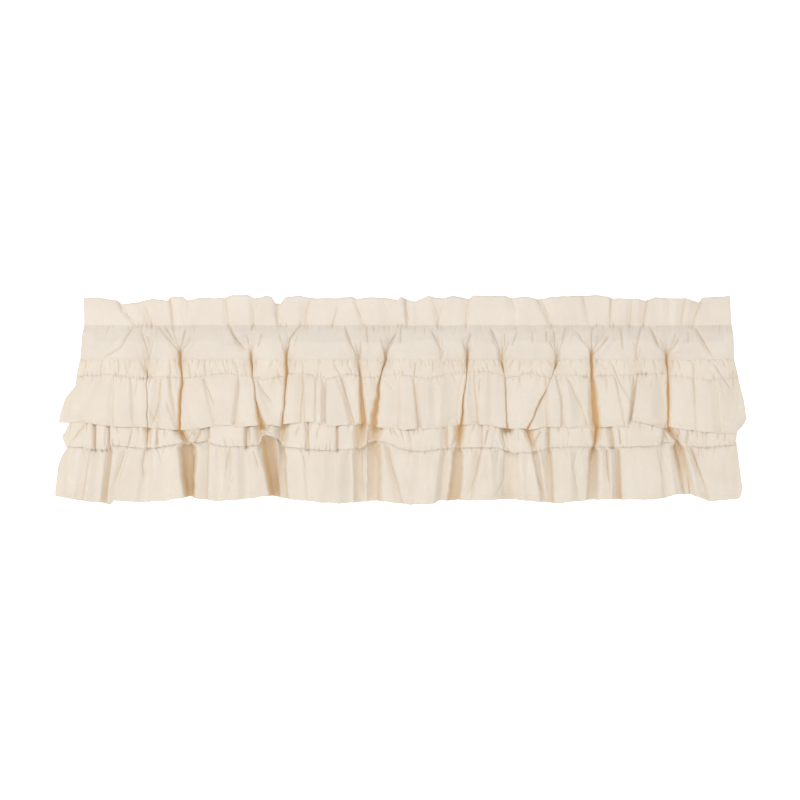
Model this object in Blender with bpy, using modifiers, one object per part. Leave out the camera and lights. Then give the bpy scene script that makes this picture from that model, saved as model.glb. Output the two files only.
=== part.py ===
"""A gathered window valance of unbleached cotton muslin, as it hangs on its rod.

Four pieces of cloth: a heading band folded in two with the rod pocket in it, a panel sewn
under the pocket, an upper ruffle on the panel's face and a lower ruffle on the panel's foot.
Metres, +Z up. The front of the cloth faces -Y and its width runs along X. The origin is the
middle of the rod pocket, on the line where the rod's axis runs. The tables are in millimetres.
"""

from collections import namedtuple

import bmesh
import bpy
import numpy as np

MM = 0.001

# Cloth
CLOTH_THICK = 1.25
SEAM_GAP = 0.35
LAYER_STEP = CLOTH_THICK + SEAM_GAP
FINEST_COLUMN = 1.6

# Heights, up from the rod's axis
STITCH_Z = 20.0
POCKET_FOOT_Z = -50.0
PANEL_TOP_Z = -42.0
RUFFLE_SEAM_Z = -82.0
RUFFLE_HEM_Z = -184.0
PANEL_FOOT_Z = -224.0
VALANCE_FOOT_Z = -330.0

# Rod pocket: the walls pass over a rod of this radius and meet at the stitching and the foot
ROD_SPACE = 14.6
WALL_RADIUS = ROD_SPACE + CLOTH_THICK / 2
POCKET_LAP = 9.0
WALL_HEIGHTS = (POCKET_FOOT_Z, POCKET_FOOT_Z + POCKET_LAP, -18.0, -4.0, 8.0)
STITCH_HOLDS = 12.0
HANG_STARTS = 0.45
HANG_GROWS_OVER = 0.5
POCKET_RELIEF = 0.62
POCKET_FULLNESS = 0.7

# Heading: the standing frill above the stitching, which waves back and forth along its top
HEADING_TOP_Z = 74.0
HEADING_HALF_GAP = CLOTH_THICK / 2 + 0.4
HEADING_TURN = 1.6
HEADING_WAVE = 4.0
HEADING_WAVE_PACE = 47.0
HEADING_LEAN = 2.0

# Ruffles: how far they stand out from the panel at their hems, and how they start at a seam
UPPER_STANDS_OUT = 15.0
LOWER_STANDS_OUT = 9.0
CLEAR_OUT = 3.0
LOWER_TUCK = 6.0
LOWER_STRAIGHT = 1.0
STRAIGHT_FOOT = 9.0
PANEL_VALLEY_WIDER = 1.3
RUFFLE_SHARES = (0.0, 0.15, 0.42, 0.7, 1.0)

# A lapping lip rises over its fold, stays level and fades out, in half widths of the fold
LAP_RISE = 1.6
LAP_LEVEL = 2.0
LAP_FADE = 4.0

MUSLIN = (0.83, 0.755, 0.655, 1.0)
MUSLIN_DOUBLED = (0.84, 0.75, 0.63, 1.0)
MUSLIN_ROUGHNESS = 0.92

# The valleys that run down through every layer. For each level: the valley's place along
# the width, how deep it goes back and its half width.
LEVELS = (POCKET_FOOT_Z, RUFFLE_SEAM_Z, RUFFLE_HEM_Z, PANEL_FOOT_Z, VALANCE_FOOT_Z)
Valley = namedtuple("Valley", "x deep wide")
VALLEYS = (
    Valley(x=(-524, -523, -521, -520, -528), deep=(2, 7, 14, 7, 3), wide=(6, 5, 5, 7, 9)),
    Valley(x=(-456, -454, -457, -442, -439), deep=(12, 20, 34, 28, 34), wide=(7, 7, 8, 13, 9)),
    Valley(x=(-314, -311, -297, -284, -266), deep=(8, 15, 28, 24, 32), wide=(6, 6, 8, 11, 8)),
    Valley(x=(-244, -243, -251, -254, -248), deep=(12, 24, 20, 16, 14), wide=(7, 7, 8, 8, 6)),
    Valley(x=(-100, -98, -92, -96, -92), deep=(4, 9, 26, 18, 19), wide=(6, 6, 7, 8, 6)),
    Valley(x=(-44, -55, -65, -70, -71), deep=(7, 13, 28, 22, 22), wide=(7, 8, 7, 9, 11)),
    Valley(x=(118, 118, 106, 102, 92), deep=(9, 14, 28, 16, 22), wide=(7, 7, 7, 7, 8)),
    Valley(x=(186, 194, 198, 204, 207), deep=(5, 14, 22, 11, 14), wide=(7, 7, 6, 12, 13)),
    Valley(x=(299, 290, 239, 254, 272), deep=(5, 15, 22, 8, 9), wide=(7, 7, 6, 7, 6)),
    Valley(x=(368, 369, 380, 373, 369), deep=(12, 20, 32, 16, 12), wide=(7, 8, 9, 7, 8)),
    Valley(x=(519, 521, 523, 540, 564), deep=(9, 24, 26, 20, 10), wide=(8, 8, 7, 8, 9)),
)
VALLEY_BOUNDS = (0.0, -2.0, 2.0)
VALLEY_WALLS = (-1.0, 1.0)
LOBE_COLUMN_STEP = 62.0
LOBE_CROWN = 0.055
LOBE_CROWN_MOST = 8.0
SIDE_MARGIN = 12.0
END_REACH = 60.0
SHARPEST_TURN = 0.45

# The cloth's side edges: left and right places at a few heights
Side = namedtuple("Side", "z left right")
BAND_SIDES = (
    Side(76, -648, 644),
    Side(20, -648, 648),
    Side(-16, -650, 653),
    Side(-50, -657, 654),
)
PANEL_SIDES = (
    Side(-42, -655, 653),
    Side(-50, -658, 654),
    Side(-83, -665, 663),
    Side(-180, -676, 660),
    Side(-212, -693, 656),
    Side(-226, -684, 658),
)
UPPER_SIDES = (
    Side(-80, -664, 662),
    Side(-102, -665, 666),
    Side(-130, -686, 672),
    Side(-176, -698, 677),
    Side(-198, -700, 658),
)
LOWER_SIDES = (
    Side(-212, -676, 656),
    Side(-228, -684, 659),
    Side(-270, -700, 664),
    Side(-320, -706, 670),
    Side(-332, -706, 664),
)

# Folds of one piece of cloth: each one's place, depth and half width at the piece's top and
# foot, and how far the cloth at its right (or, below nought, its left) laps over it.
Fold = namedtuple("Fold", "top_x foot_x top_deep foot_deep top_wide foot_wide lap")
HEADING_FOLDS = (
    Fold(-580, -548, 8, 5, 9, 6, 0),
    Fold(-532, -514, 5, 7, 8, 5, 0),
    Fold(-478, -470, 7, 5, 7, 6, 0),
    Fold(-444, -448, 6, 2, 7, 6, 0),
    Fold(-364, -359, 5, 4, 6, 6, 0),
    Fold(-306, -308, 5, 7, 8, 5, 0),
    Fold(-262, -260, 12, 5, 9, 6, 0),
    Fold(-199, -208, 5, 7, 8, 6, 0),
    Fold(-142, -151, 4, 6, 9, 6, 0),
    Fold(-106, -90, 6, 3, 8, 7, 0),
    Fold(-50, -43, 5, 3, 8, 7, 0),
    Fold(-4, -1, 10, 6, 7, 6, 0),
    Fold(20, 16, 6, 3, 9, 6, 0),
    Fold(62, 62, 5, 7, 9, 5, 0),
    Fold(122, 116, 7, 6, 7, 5, 0),
    Fold(208, 214, 5, 3, 8, 7, 0),
    Fold(262, 286, 8, 4, 9, 7, 0),
    Fold(352, 364, 5, 3, 8, 7, 0),
    Fold(409, 406, 7, 3, 6, 6, 0),
    Fold(448, 446, 6, 5, 7, 5, 0),
    Fold(478, 472, 7, 6, 7, 5, 0),
    Fold(524, 524, 5, 3, 7, 7, 0),
    Fold(556, 548, 5, 5, 7, 6, 0),
    Fold(586, 570, 10, 5, 8, 6, 0),
)
POCKET_FOLDS = (
    Fold(-553, -612, 4, 6, 6, 12, 0),
    Fold(-528, -518, 5, 6, 6, 8, 0),
    Fold(-482, -458, 5, 9, 6, 9, 0),
    Fold(-358, -322, 5, 8, 6, 9, 0),
    Fold(-214, -240, 6, 9, 6, 8, 0),
    Fold(-128, -102, 5, 6, 6, 9, 0),
    Fold(-22, -46, 6, 9, 6, 8, 0),
    Fold(54, 66, 5, 5, 6, 8, 0),
    Fold(126, 118, 5, 8, 6, 8, 0),
    Fold(164, 188, 5, 7, 6, 9, 0),
    Fold(292, 298, 5, 6, 6, 8, 0),
    Fold(398, 368, 6, 9, 6, 8, 0),
    Fold(466, 456, 5, 4, 6, 8, 0),
    Fold(484, 512, 5, 8, 6, 8, 0),
    Fold(570, 612, 4, 5, 6, 10, 0),
)
# Folds of the panel's strip that shows between the ruffles, read along its foot
StripFold = namedtuple("StripFold", "x deep wide")
STRIP_FOLDS = (
    StripFold(-622, 12, 4),
    StripFold(-598, 12, 4),
    StripFold(-500, 4, 4),
    StripFold(-398, 7, 5),
    StripFold(-325, 10, 4),
    StripFold(-199, 7, 4),
    StripFold(-142, 7, 4),
    StripFold(6, 3, 6),
    StripFold(76, 7, 5),
    StripFold(148, 5, 5),
    StripFold(283, 8, 4),
    StripFold(412, 8, 4),
    StripFold(508, 6, 5),
    StripFold(598, 3, 6),
)
STRIP_COLUMNS = (-1.4, 0.0, 1.4)
FOLD_COLUMNS = (-1.3, 0.0, 1.3)

UPPER_FOLDS = (
    Fold(-600, -656, 4, 6, 8, 14, 0),
    Fold(-590, -590, 4, 4, 6, 6, 0),
    Fold(-496, -482, 6, 6, 5, 7, 0),
    Fold(-438, -424, 4, 6, 7, 9, 0),
    Fold(-408, -386, 4, 3, 6, 8, 0),
    Fold(-336, -342, 7, 7, 7, 10, 0),
    Fold(-288, -272, 4, 2, 6, 8, 0),
    Fold(-210, -206, 6, 6, 5, 6, 0),
    Fold(-166, -166, 7, 9, 5, 5, 0),
    Fold(-134, -114, 6, 6, 6, 7, 0),
    Fold(-16, -22, 5, 5, 7, 8, 0),
    Fold(12, 22, 6, 8, 5, 6, 0),
    Fold(62, 66, 6, 7, 8, 8, 0),
    Fold(84, 86, 5, 5, 5, 6, 0),
    Fold(138, 141, 6, 8, 5, 6, 0),
    Fold(250, 222, 4, 3, 7, 7, 0),
    Fold(308, 283, 5, 6, 6, 7, 0),
    Fold(328, 352, 4, 7, 6, 8, 5),
    Fold(415, 428, 5, 3, 6, 8, 0),
    Fold(458, 447, 8, 11, 5, 5, 6),
    Fold(500, 500, 4, 5, 6, 8, 0),
    Fold(572, 578, 4, 3, 6, 8, 0),
    Fold(618, 624, 3, 4, 6, 8, 0),
)
LOWER_FOLDS = (
    Fold(-635, -656, 7, 9, 8, 9, 0),
    Fold(-596, -598, 12, 16, 7, 8, 9),
    Fold(-562, -580, 4, 3, 6, 7, 0),
    Fold(-486, -492, 3, 3, 8, 10, 0),
    Fold(-400, -404, 6, 9, 6, 6, 0),
    Fold(-376, -378, 4, 4, 6, 7, 0),
    Fold(-354, -360, 4, 3, 6, 8, 0),
    Fold(-326, -324, 6, 9, 8, 9, 0),
    Fold(-206, -198, 4, 3, 7, 9, 0),
    Fold(-150, -158, 3, 4, 8, 8, 0),
    Fold(-118, -117, 7, 9, 6, 6, 0),
    Fold(-42, -12, 6, 7, 6, 7, 0),
    Fold(20, 16, 3, 4, 8, 9, 0),
    Fold(74, 64, 13, 18, 8, 10, -6),
    Fold(146, 124, 5, 6, 6, 8, 0),
    Fold(178, 184, 5, 4, 7, 8, 0),
    Fold(236, 240, 4, 4, 7, 8, 0),
    Fold(283, 290, 12, 13, 7, 7, 0),
    Fold(334, 341, 5, 6, 7, 8, 0),
    Fold(398, 404, 6, 4, 6, 7, 0),
    Fold(420, 425, 11, 16, 7, 8, 6),
    Fold(508, 516, 6, 5, 8, 10, 0),
    Fold(530, 542, 6, 8, 8, 10, 0),
    Fold(578, 600, 7, 6, 6, 7, 0),
)

# Edges that rise and fall along the width
Edge = namedtuple("Edge", "x z")
HEADING_EDGE = (
    Edge(-648, 74),
    Edge(-622, 75),
    Edge(-584, 69),
    Edge(-574, 62),
    Edge(-552, 64),
    Edge(-512, 73),
    Edge(-484, 69),
    Edge(-476, 77),
    Edge(-452, 77),
    Edge(-442, 69),
    Edge(-420, 74),
    Edge(-368, 74),
    Edge(-352, 80),
    Edge(-322, 80),
    Edge(-310, 74),
    Edge(-286, 78),
    Edge(-274, 77),
    Edge(-266, 64),
    Edge(-256, 64),
    Edge(-248, 75),
    Edge(-216, 80),
    Edge(-198, 74),
    Edge(-140, 74),
    Edge(-114, 77),
    Edge(-102, 73),
    Edge(-64, 76),
    Edge(-20, 71),
    Edge(-14, 77),
    Edge(6, 68),
    Edge(16, 68),
    Edge(38, 78),
    Edge(70, 74),
    Edge(90, 79),
    Edge(122, 73),
    Edge(131, 79),
    Edge(194, 78),
    Edge(210, 74),
    Edge(240, 77),
    Edge(260, 71),
    Edge(292, 77),
    Edge(374, 80),
    Edge(400, 78),
    Edge(410, 73),
    Edge(448, 73),
    Edge(476, 69),
    Edge(494, 75),
    Edge(534, 73),
    Edge(560, 73),
    Edge(584, 65),
    Edge(592, 75),
    Edge(644, 78),
)
UPPER_SEAM = (
    Edge(-665, -83),
    Edge(-596, -79),
    Edge(-536, -87),
    Edge(-500, -83),
    Edge(-438, -86),
    Edge(-364, -76),
    Edge(-286, -88),
    Edge(-216, -75),
    Edge(-158, -87),
    Edge(-124, -78),
    Edge(-82, -84),
    Edge(-14, -79),
    Edge(40, -87),
    Edge(80, -78),
    Edge(158, -73),
    Edge(202, -88),
    Edge(248, -75),
    Edge(274, -87),
    Edge(294, -79),
    Edge(352, -83),
    Edge(464, -78),
    Edge(508, -77),
    Edge(606, -90),
    Edge(664, -84),
)
UPPER_HEM = (
    Edge(-698, -176),
    Edge(-655, -175),
    Edge(-588, -184),
    Edge(-522, -185),
    Edge(-472, -190),
    Edge(-428, -190),
    Edge(-370, -180),
    Edge(-336, -184),
    Edge(-286, -179),
    Edge(-260, -184),
    Edge(-246, -179),
    Edge(-196, -174),
    Edge(-150, -183),
    Edge(-116, -179),
    Edge(-80, -178),
    Edge(-60, -184),
    Edge(-8, -190),
    Edge(64, -187),
    Edge(100, -179),
    Edge(152, -180),
    Edge(192, -187),
    Edge(260, -189),
    Edge(276, -184),
    Edge(362, -186),
    Edge(444, -182),
    Edge(450, -170),
    Edge(506, -187),
    Edge(524, -183),
    Edge(584, -194),
    Edge(654, -198),
    Edge(677, -176),
)
PANEL_FOOT = (
    Edge(-694, -212),
    Edge(-684, -224),
    Edge(-655, -224),
    Edge(-632, -230),
    Edge(-600, -231),
    Edge(-594, -220),
    Edge(-538, -226),
    Edge(-502, -226),
    Edge(-464, -215),
    Edge(-448, -220),
    Edge(-398, -212),
    Edge(-372, -223),
    Edge(-324, -223),
    Edge(-300, -217),
    Edge(-286, -203),
    Edge(-262, -208),
    Edge(-250, -221),
    Edge(-203, -228),
    Edge(-156, -231),
    Edge(-95, -226),
    Edge(-66, -211),
    Edge(-44, -214),
    Edge(-10, -229),
    Edge(28, -233),
    Edge(78, -226),
    Edge(176, -225),
    Edge(192, -230),
    Edge(216, -237),
    Edge(268, -231),
    Edge(284, -225),
    Edge(344, -223),
    Edge(424, -224),
    Edge(498, -222),
    Edge(506, -215),
    Edge(528, -215),
    Edge(540, -211),
    Edge(560, -222),
    Edge(594, -225),
    Edge(658, -219),
)
LOWER_HEM = (
    Edge(-706, -322),
    Edge(-664, -330),
    Edge(-585, -339),
    Edge(-580, -331),
    Edge(-538, -335),
    Edge(-484, -331),
    Edge(-444, -324),
    Edge(-383, -332),
    Edge(-324, -328),
    Edge(-284, -322),
    Edge(-248, -327),
    Edge(-172, -335),
    Edge(-130, -337),
    Edge(-58, -332),
    Edge(4, -339),
    Edge(52, -337),
    Edge(60, -332),
    Edge(106, -331),
    Edge(204, -329),
    Edge(302, -337),
    Edge(332, -333),
    Edge(384, -329),
    Edge(495, -329),
    Edge(546, -318),
    Edge(566, -319),
    Edge(606, -333),
    Edge(663, -327),
    Edge(670, -317),
)


def smooth(share):
    """Nought to one with no slope at either end."""
    share = np.clip(share, 0.0, 1.0)
    return share * share * (3.0 - 2.0 * share)


def trough(distance, wide):
    """A fold's cross-section: one in the middle and nought at twice its half width."""
    share = np.clip(np.abs(distance) / (2.0 * wide), 0.0, 1.0)
    return (1.0 - share * share) ** 2


def at_level(values, z):
    """One valley's value at a height, read between the levels."""
    return np.interp(-z, [-level for level in LEVELS], values)


def edge_height(edge, x):
    """The height of a rising and falling edge at a place along the width."""
    return np.interp(x, [row.x for row in edge], [row.z for row in edge])


def side_places(sides, z):
    """Where the left and the right side edges of a piece are at a height."""
    heights = [-row.z for row in sides]
    left = float(np.interp(-z, heights, [row.left for row in sides]))
    right = float(np.interp(-z, heights, [row.right for row in sides]))
    return left, right


def valley_places(z):
    """Where the middles of the valleys are at a height."""
    return [float(at_level(valley.x, z)) for valley in VALLEYS]


def carrier(x, z, wider=1.0):
    """How far back the hanging cloth lies: the valleys and, between them, the crowned lobes."""
    x = np.asarray(x, float)
    back = np.zeros_like(x)
    for valley in VALLEYS:
        deep, wide = at_level(valley.deep, z), wider * at_level(valley.wide, z)
        back = np.maximum(back, deep * trough(x - at_level(valley.x, z), wide))
    left, right = side_places(PANEL_SIDES, z)
    bounds = np.array([left, *valley_places(z), right])
    lobe = np.clip(np.searchsorted(bounds, x) - 1, 0, len(bounds) - 2)
    width = bounds[lobe + 1] - bounds[lobe]
    share = np.clip((x - bounds[lobe]) / width, 0.0, 1.0)
    crown = np.minimum(LOBE_CROWN_MOST, LOBE_CROWN * width) * np.sin(np.pi * share)
    return back - crown


def folds_at(folds, x, share):
    """The depth of a piece's own folds at a share of the way from its top to its foot."""
    x = np.asarray(x, float)
    back = np.zeros_like(x)
    for fold in folds:
        middle = fold.top_x + (fold.foot_x - fold.top_x) * share
        deep = fold.top_deep + (fold.foot_deep - fold.top_deep) * share
        wide = fold.top_wide + (fold.foot_wide - fold.top_wide) * share
        back = np.maximum(back, deep * trough(x - middle, wide))
    return back


def lapped(folds, x, share):
    """Slides the lip of the cloth beside a fold over it, so that the fold closes as cloth does."""
    shift = np.zeros_like(x)
    for fold in folds:
        if not fold.lap:
            continue
        middle = fold.top_x + (fold.foot_x - fold.top_x) * share
        wide = fold.top_wide + (fold.foot_wide - fold.top_wide) * share
        beside = (x - middle) * np.sign(fold.lap)
        rise = smooth(beside / (LAP_RISE * wide))
        fade = 1.0 - smooth((beside - LAP_LEVEL * wide) / (LAP_FADE * wide))
        shift -= fold.lap * share * rise * fade
    return x + shift


def clear_of(places, others, least):
    """Whether a line down the cloth keeps to one side of each other line, at every height."""
    for other in others:
        gaps = [a - b for a, b in zip(places, other)]
        if min(gaps) <= least and max(gaps) >= -least:
            return False
    return True


def bounding_threads():
    """The lines down the cloth along the sides and the valleys, each as places at the levels."""
    widest = (BAND_SIDES[-1], UPPER_SIDES[0], PANEL_SIDES[3], LOWER_SIDES[0], LOWER_SIDES[2])
    threads = [[side.left + SIDE_MARGIN for side in widest]]
    threads.append([side.right - SIDE_MARGIN for side in widest])
    threads = add_valley_threads(threads, VALLEY_BOUNDS)
    return fill_lobes(threads)


def add_valley_threads(threads, steps):
    """Adds lines that run along each valley, some half widths from its middle."""
    threads = list(threads)
    for step in steps:
        for valley in VALLEYS:
            places = [place + step * wide for place, wide in zip(valley.x, valley.wide)]
            if clear_of(places, threads, FINEST_COLUMN):
                threads.append(places)
    return sorted(threads, key=lambda places: places[0])


def fill_lobes(threads):
    """Adds evenly spaced threads where two neighbours lie far apart."""
    filled = [threads[0]]
    for left, right in zip(threads, threads[1:]):
        extra = int((right[1] - left[1]) // LOBE_COLUMN_STEP)
        for number in range(1, extra + 1):
            share = number / (extra + 1)
            filled.append([a + (b - a) * share for a, b in zip(left, right)])
        filled.append(right)
    return filled


POCKET_THREADS = bounding_threads()
THREADS = add_valley_threads(POCKET_THREADS, VALLEY_WALLS)


def threads_at(z):
    """Where the shared threads are at a height."""
    return np.array([float(at_level(places, z)) for places in THREADS])


def strip_threads():
    """Lines down the cloth on each side of the strip's folds, between the shared threads."""
    at_foot = threads_at(PANEL_FOOT_Z)
    threads = []
    for fold in STRIP_FOLDS:
        for step in STRIP_COLUMNS:
            place = np.interp(fold.x + step * fold.wide, at_foot, np.arange(len(at_foot)))
            order = np.arange(len(THREADS))
            threads.append([np.interp(place, order, threads_at(z)) for z in LEVELS])
    return [places for places in threads if clear_of(places, THREADS, FINEST_COLUMN)]


FOOT_THREADS = sorted(THREADS + strip_threads(), key=lambda places: places[0])


def seam_stations(z):
    """The corners of a seam's line: places along the width and how far back each one lies."""
    threads = {POCKET_FOOT_Z: POCKET_THREADS, RUFFLE_SEAM_Z: THREADS, PANEL_FOOT_Z: FOOT_THREADS}[z]
    places = np.array([float(at_level(thread, z)) for thread in threads])
    return places, carrier(places, z) + strip_folds_at(places, z)


def strip_folds_at(x, z):
    """The depth of the strip's folds, which fade up behind the upper ruffle."""
    at_foot = np.interp(x, threads_at(z), threads_at(PANEL_FOOT_Z))
    back = np.zeros_like(at_foot)
    for fold in STRIP_FOLDS:
        back = np.maximum(back, fold.deep * trough(at_foot - fold.x, fold.wide))
    return back * smooth((RUFFLE_SEAM_Z - z) / (RUFFLE_SEAM_Z - RUFFLE_HEM_Z))


def columns_for(row_heights, sides, folds, threads):
    """Each row's column places: the side edges, the given threads and the piece's own folds.

    A fold's column that would come too near to another one, or cross it, is left out.
    """
    shares = [(row_heights[0] - z) / (row_heights[0] - row_heights[-1]) for z in row_heights]
    kept = [[side_places(sides, z)[0] for z in row_heights]]
    kept.append([side_places(sides, z)[1] for z in row_heights])
    kept += [[float(at_level(thread, z)) for z in row_heights] for thread in threads]
    for fold in folds:
        for step in FOLD_COLUMNS:
            start = fold.top_x + step * fold.top_wide
            end = fold.foot_x + step * fold.foot_wide
            places = [start + (end - start) * share for share in shares]
            if clear_of(places, kept, FINEST_COLUMN):
                kept.append(places)
    kept.sort(key=lambda places: places[0])
    return np.array(kept).T


def beside(x, y, step):
    """A line moved sideways by an even distance: back by a step above nought, else forward."""
    line = np.column_stack([x, y])
    along = np.diff(line, axis=0)
    along /= np.linalg.norm(along, axis=1)[:, None]
    across = np.column_stack([-along[:, 1], along[:, 0]])
    across = np.vstack([across[0], across, across[-1]])
    turned = across[:-1] + across[1:]
    turned /= np.maximum((turned * across[1:]).sum(axis=1), SHARPEST_TURN)[:, None]
    moved = line + step * turned
    return moved[:, 0], moved[:, 1]


def seam_line(x, z):
    """How far back a seam lies: straight between its corners, so that two pieces fit."""
    places, back = seam_stations(z)
    return np.interp(x, places, back)


def beside_seam(x, z, step):
    """The points of a seam at some places, moved sideways from its line by an even distance."""
    places, back = seam_stations(z)
    places = np.concatenate([[places[0] - END_REACH], places, [places[-1] + END_REACH]])
    back = np.concatenate([[back[0]], back, [back[-1]]])
    moved_x, moved_y = beside(places, back, step)
    return np.interp(x, places, moved_x), np.interp(x, places, moved_y)


def wall_half_depth(z):
    """How far a pocket wall lies from the rod's axis: round the rod, straight to the seams."""
    above = WALL_RADIUS**2 / STITCH_Z
    below = WALL_RADIUS**2 / POCKET_FOOT_Z
    if z >= above:
        start = np.sqrt(WALL_RADIUS**2 - above**2)
        return start + (HEADING_HALF_GAP - start) * (z - above) / (STITCH_Z - above)
    if z <= below:
        start = np.sqrt(WALL_RADIUS**2 - below**2)
        return start + (LAYER_STEP - start) * (below - z) / (below - POCKET_FOOT_Z)
    return np.sqrt(WALL_RADIUS**2 - z**2)


def heading_point(x, share):
    """The middle surface of the doubled heading, from its top edge down to the stitching."""
    wave = HEADING_WAVE * np.sin(x / HEADING_WAVE_PACE) * (1.0 - share)
    return wave - HEADING_LEAN + folds_at(HEADING_FOLDS, x, share)


def band_wall(x, z, side):
    """A pocket wall: -1 is the front one, with its folds, and 1 the back one."""
    from_stitch = (STITCH_Z - z) / (STITCH_Z - POCKET_FOOT_Z)
    stitch_back = heading_point(x, 1.0) * (1.0 - smooth((STITCH_Z - z) / STITCH_HOLDS))
    hang = carrier(x, POCKET_FOOT_Z) * smooth((from_stitch - HANG_STARTS) / HANG_GROWS_OVER)
    wall = side * wall_half_depth(z)
    if side > 0:
        return stitch_back + hang + wall
    fullness = np.sin(np.pi * np.clip(from_stitch, 0.0, 1.0)) ** POCKET_FULLNESS
    deepest = 1.0 + max(fold.foot_deep for fold in POCKET_FOLDS)
    relief = POCKET_RELIEF * fullness * (deepest - folds_at(POCKET_FOLDS, x, from_stitch))
    return stitch_back + hang + wall - relief


def band_rows():
    """The heading band's cloth: up the back wall, over the heading's top and down the front."""
    levels = (HEADING_TOP_Z, STITCH_Z, POCKET_FOOT_Z)
    places = columns_for(levels, BAND_SIDES, HEADING_FOLDS, POCKET_THREADS)
    top_x, stitch_x, foot_x = places
    top_z = edge_height(HEADING_EDGE, top_x)

    def wall_row(z, side):
        if z <= POCKET_FOOT_Z + POCKET_LAP:
            x, y = beside_seam(foot_x, POCKET_FOOT_Z, side * LAYER_STEP)
            return np.column_stack([x, y, np.full_like(x, z)])
        share = (STITCH_Z - z) / (STITCH_Z - POCKET_FOOT_Z)
        x = stitch_x + (foot_x - stitch_x) * share
        return np.column_stack([x, band_wall(x, z, side), np.full_like(x, z)])

    def heading_row(share, side, below_top=0.0):
        x = top_x + (stitch_x - top_x) * share
        x, y = beside(x, heading_point(x, share), side * HEADING_HALF_GAP)
        return np.column_stack([x, y, top_z + (STITCH_Z - top_z) * share - below_top])

    rows = [wall_row(z, 1) for z in WALL_HEIGHTS]
    rows += [heading_row(1.0, 1), heading_row(0.5, 1), heading_row(0.0, 1, HEADING_TURN)]
    rows += [heading_row(0.0, 0)]
    rows += [heading_row(0.0, -1, HEADING_TURN), heading_row(0.5, -1), heading_row(1.0, -1)]
    rows += [wall_row(z, -1) for z in reversed(WALL_HEIGHTS)]
    return rows


def between_edges(x, share):
    """A height at a share of the way from the upper ruffle's seam down to its hem."""
    seam, hem = edge_height(UPPER_SEAM, x), edge_height(UPPER_HEM, x)
    return seam + (hem - seam) * share


def ruffle_levels(top, foot):
    """The heights at which a ruffle's rows are read, for the shares of its drop."""
    return [top + (foot - top) * share for share in RUFFLE_SHARES]


def panel_rows():
    """The panel's cloth, from inside the pocket's foot down to the lower seam."""
    behind = ruffle_levels(RUFFLE_SEAM_Z, RUFFLE_HEM_Z)
    levels = [POCKET_FOOT_Z, *behind, PANEL_FOOT_Z]
    places = columns_for(levels, PANEL_SIDES, (), FOOT_THREADS)
    pocket_back = seam_line(places[0], POCKET_FOOT_Z)
    rows = [np.column_stack([places[0], pocket_back, np.full_like(places[0], PANEL_TOP_Z)])]
    rows.append(np.column_stack([places[0], pocket_back, np.full_like(places[0], POCKET_FOOT_Z)]))
    for share, z, x in zip(RUFFLE_SHARES, behind, places[1:]):
        back = carrier(x, z, PANEL_VALLEY_WIDER) + strip_folds_at(x, z)
        if share == 0.0:
            back = seam_line(x, z)
        rows.append(np.column_stack([x, back, between_edges(x, share)]))
    x = places[-1]
    back, foot = seam_line(x, PANEL_FOOT_Z), edge_height(PANEL_FOOT, x)
    rows.append(np.column_stack([x, back, foot + STRAIGHT_FOOT]))
    rows.append(np.column_stack([x, back, foot]))
    return rows


def upper_rows():
    """The upper ruffle's cloth, from its gathered top on the panel's face down to its hem."""
    levels = ruffle_levels(RUFFLE_SEAM_Z, RUFFLE_HEM_Z)
    places = columns_for(levels, UPPER_SIDES, UPPER_FOLDS, THREADS)
    seam_x, seam_back = beside_seam(places[0], RUFFLE_SEAM_Z, -LAYER_STEP)
    rows = [np.column_stack([seam_x, seam_back, between_edges(places[0], 0.0)])]
    for share, z, x in list(zip(RUFFLE_SHARES, levels, places))[1:]:
        out = CLEAR_OUT + UPPER_STANDS_OUT * (1.0 - (1.0 - share) ** 3)
        own = np.minimum(folds_at(UPPER_FOLDS, x, share), out - CLEAR_OUT)
        back = carrier(x, z) - out + own
        rows.append(np.column_stack([lapped(UPPER_FOLDS, x, share), back, between_edges(x, share)]))
    return rows


def lower_rows():
    """The lower ruffle's cloth, from behind the panel's foot down to its hem."""
    levels = ruffle_levels(PANEL_FOOT_Z, VALANCE_FOOT_Z)
    places = columns_for(levels, LOWER_SIDES, LOWER_FOLDS, FOOT_THREADS)
    seam_x, seam_back = beside_seam(places[0], PANEL_FOOT_Z, LAYER_STEP)
    seam = edge_height(PANEL_FOOT, places[0])
    rows = [np.column_stack([seam_x, seam_back, seam + LOWER_TUCK])]
    rows.append(np.column_stack([seam_x, seam_back, seam - LOWER_STRAIGHT]))
    for share, z, x in list(zip(RUFFLE_SHARES, levels, places))[1:]:
        seam, hem = edge_height(PANEL_FOOT, x), edge_height(LOWER_HEM, x)
        out = LOWER_STANDS_OUT * (1.0 - (1.0 - share) ** 2) - LAYER_STEP
        back = carrier(x, z) - out + folds_at(LOWER_FOLDS, x, share)
        height = seam + (hem - seam) * share
        rows.append(np.column_stack([lapped(LOWER_FOLDS, x, share), back, height]))
    return rows


def muslin(name, colour):
    """Unbleached cotton muslin: matt, warm off-white."""
    material = bpy.data.materials.new(name)
    material.use_nodes = True
    shader = material.node_tree.nodes["Principled BSDF"]
    shader.inputs["Base Color"].default_value = colour
    shader.inputs["Roughness"].default_value = MUSLIN_ROUGHNESS
    shader.inputs["Metallic"].default_value = 0.0
    return material


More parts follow.
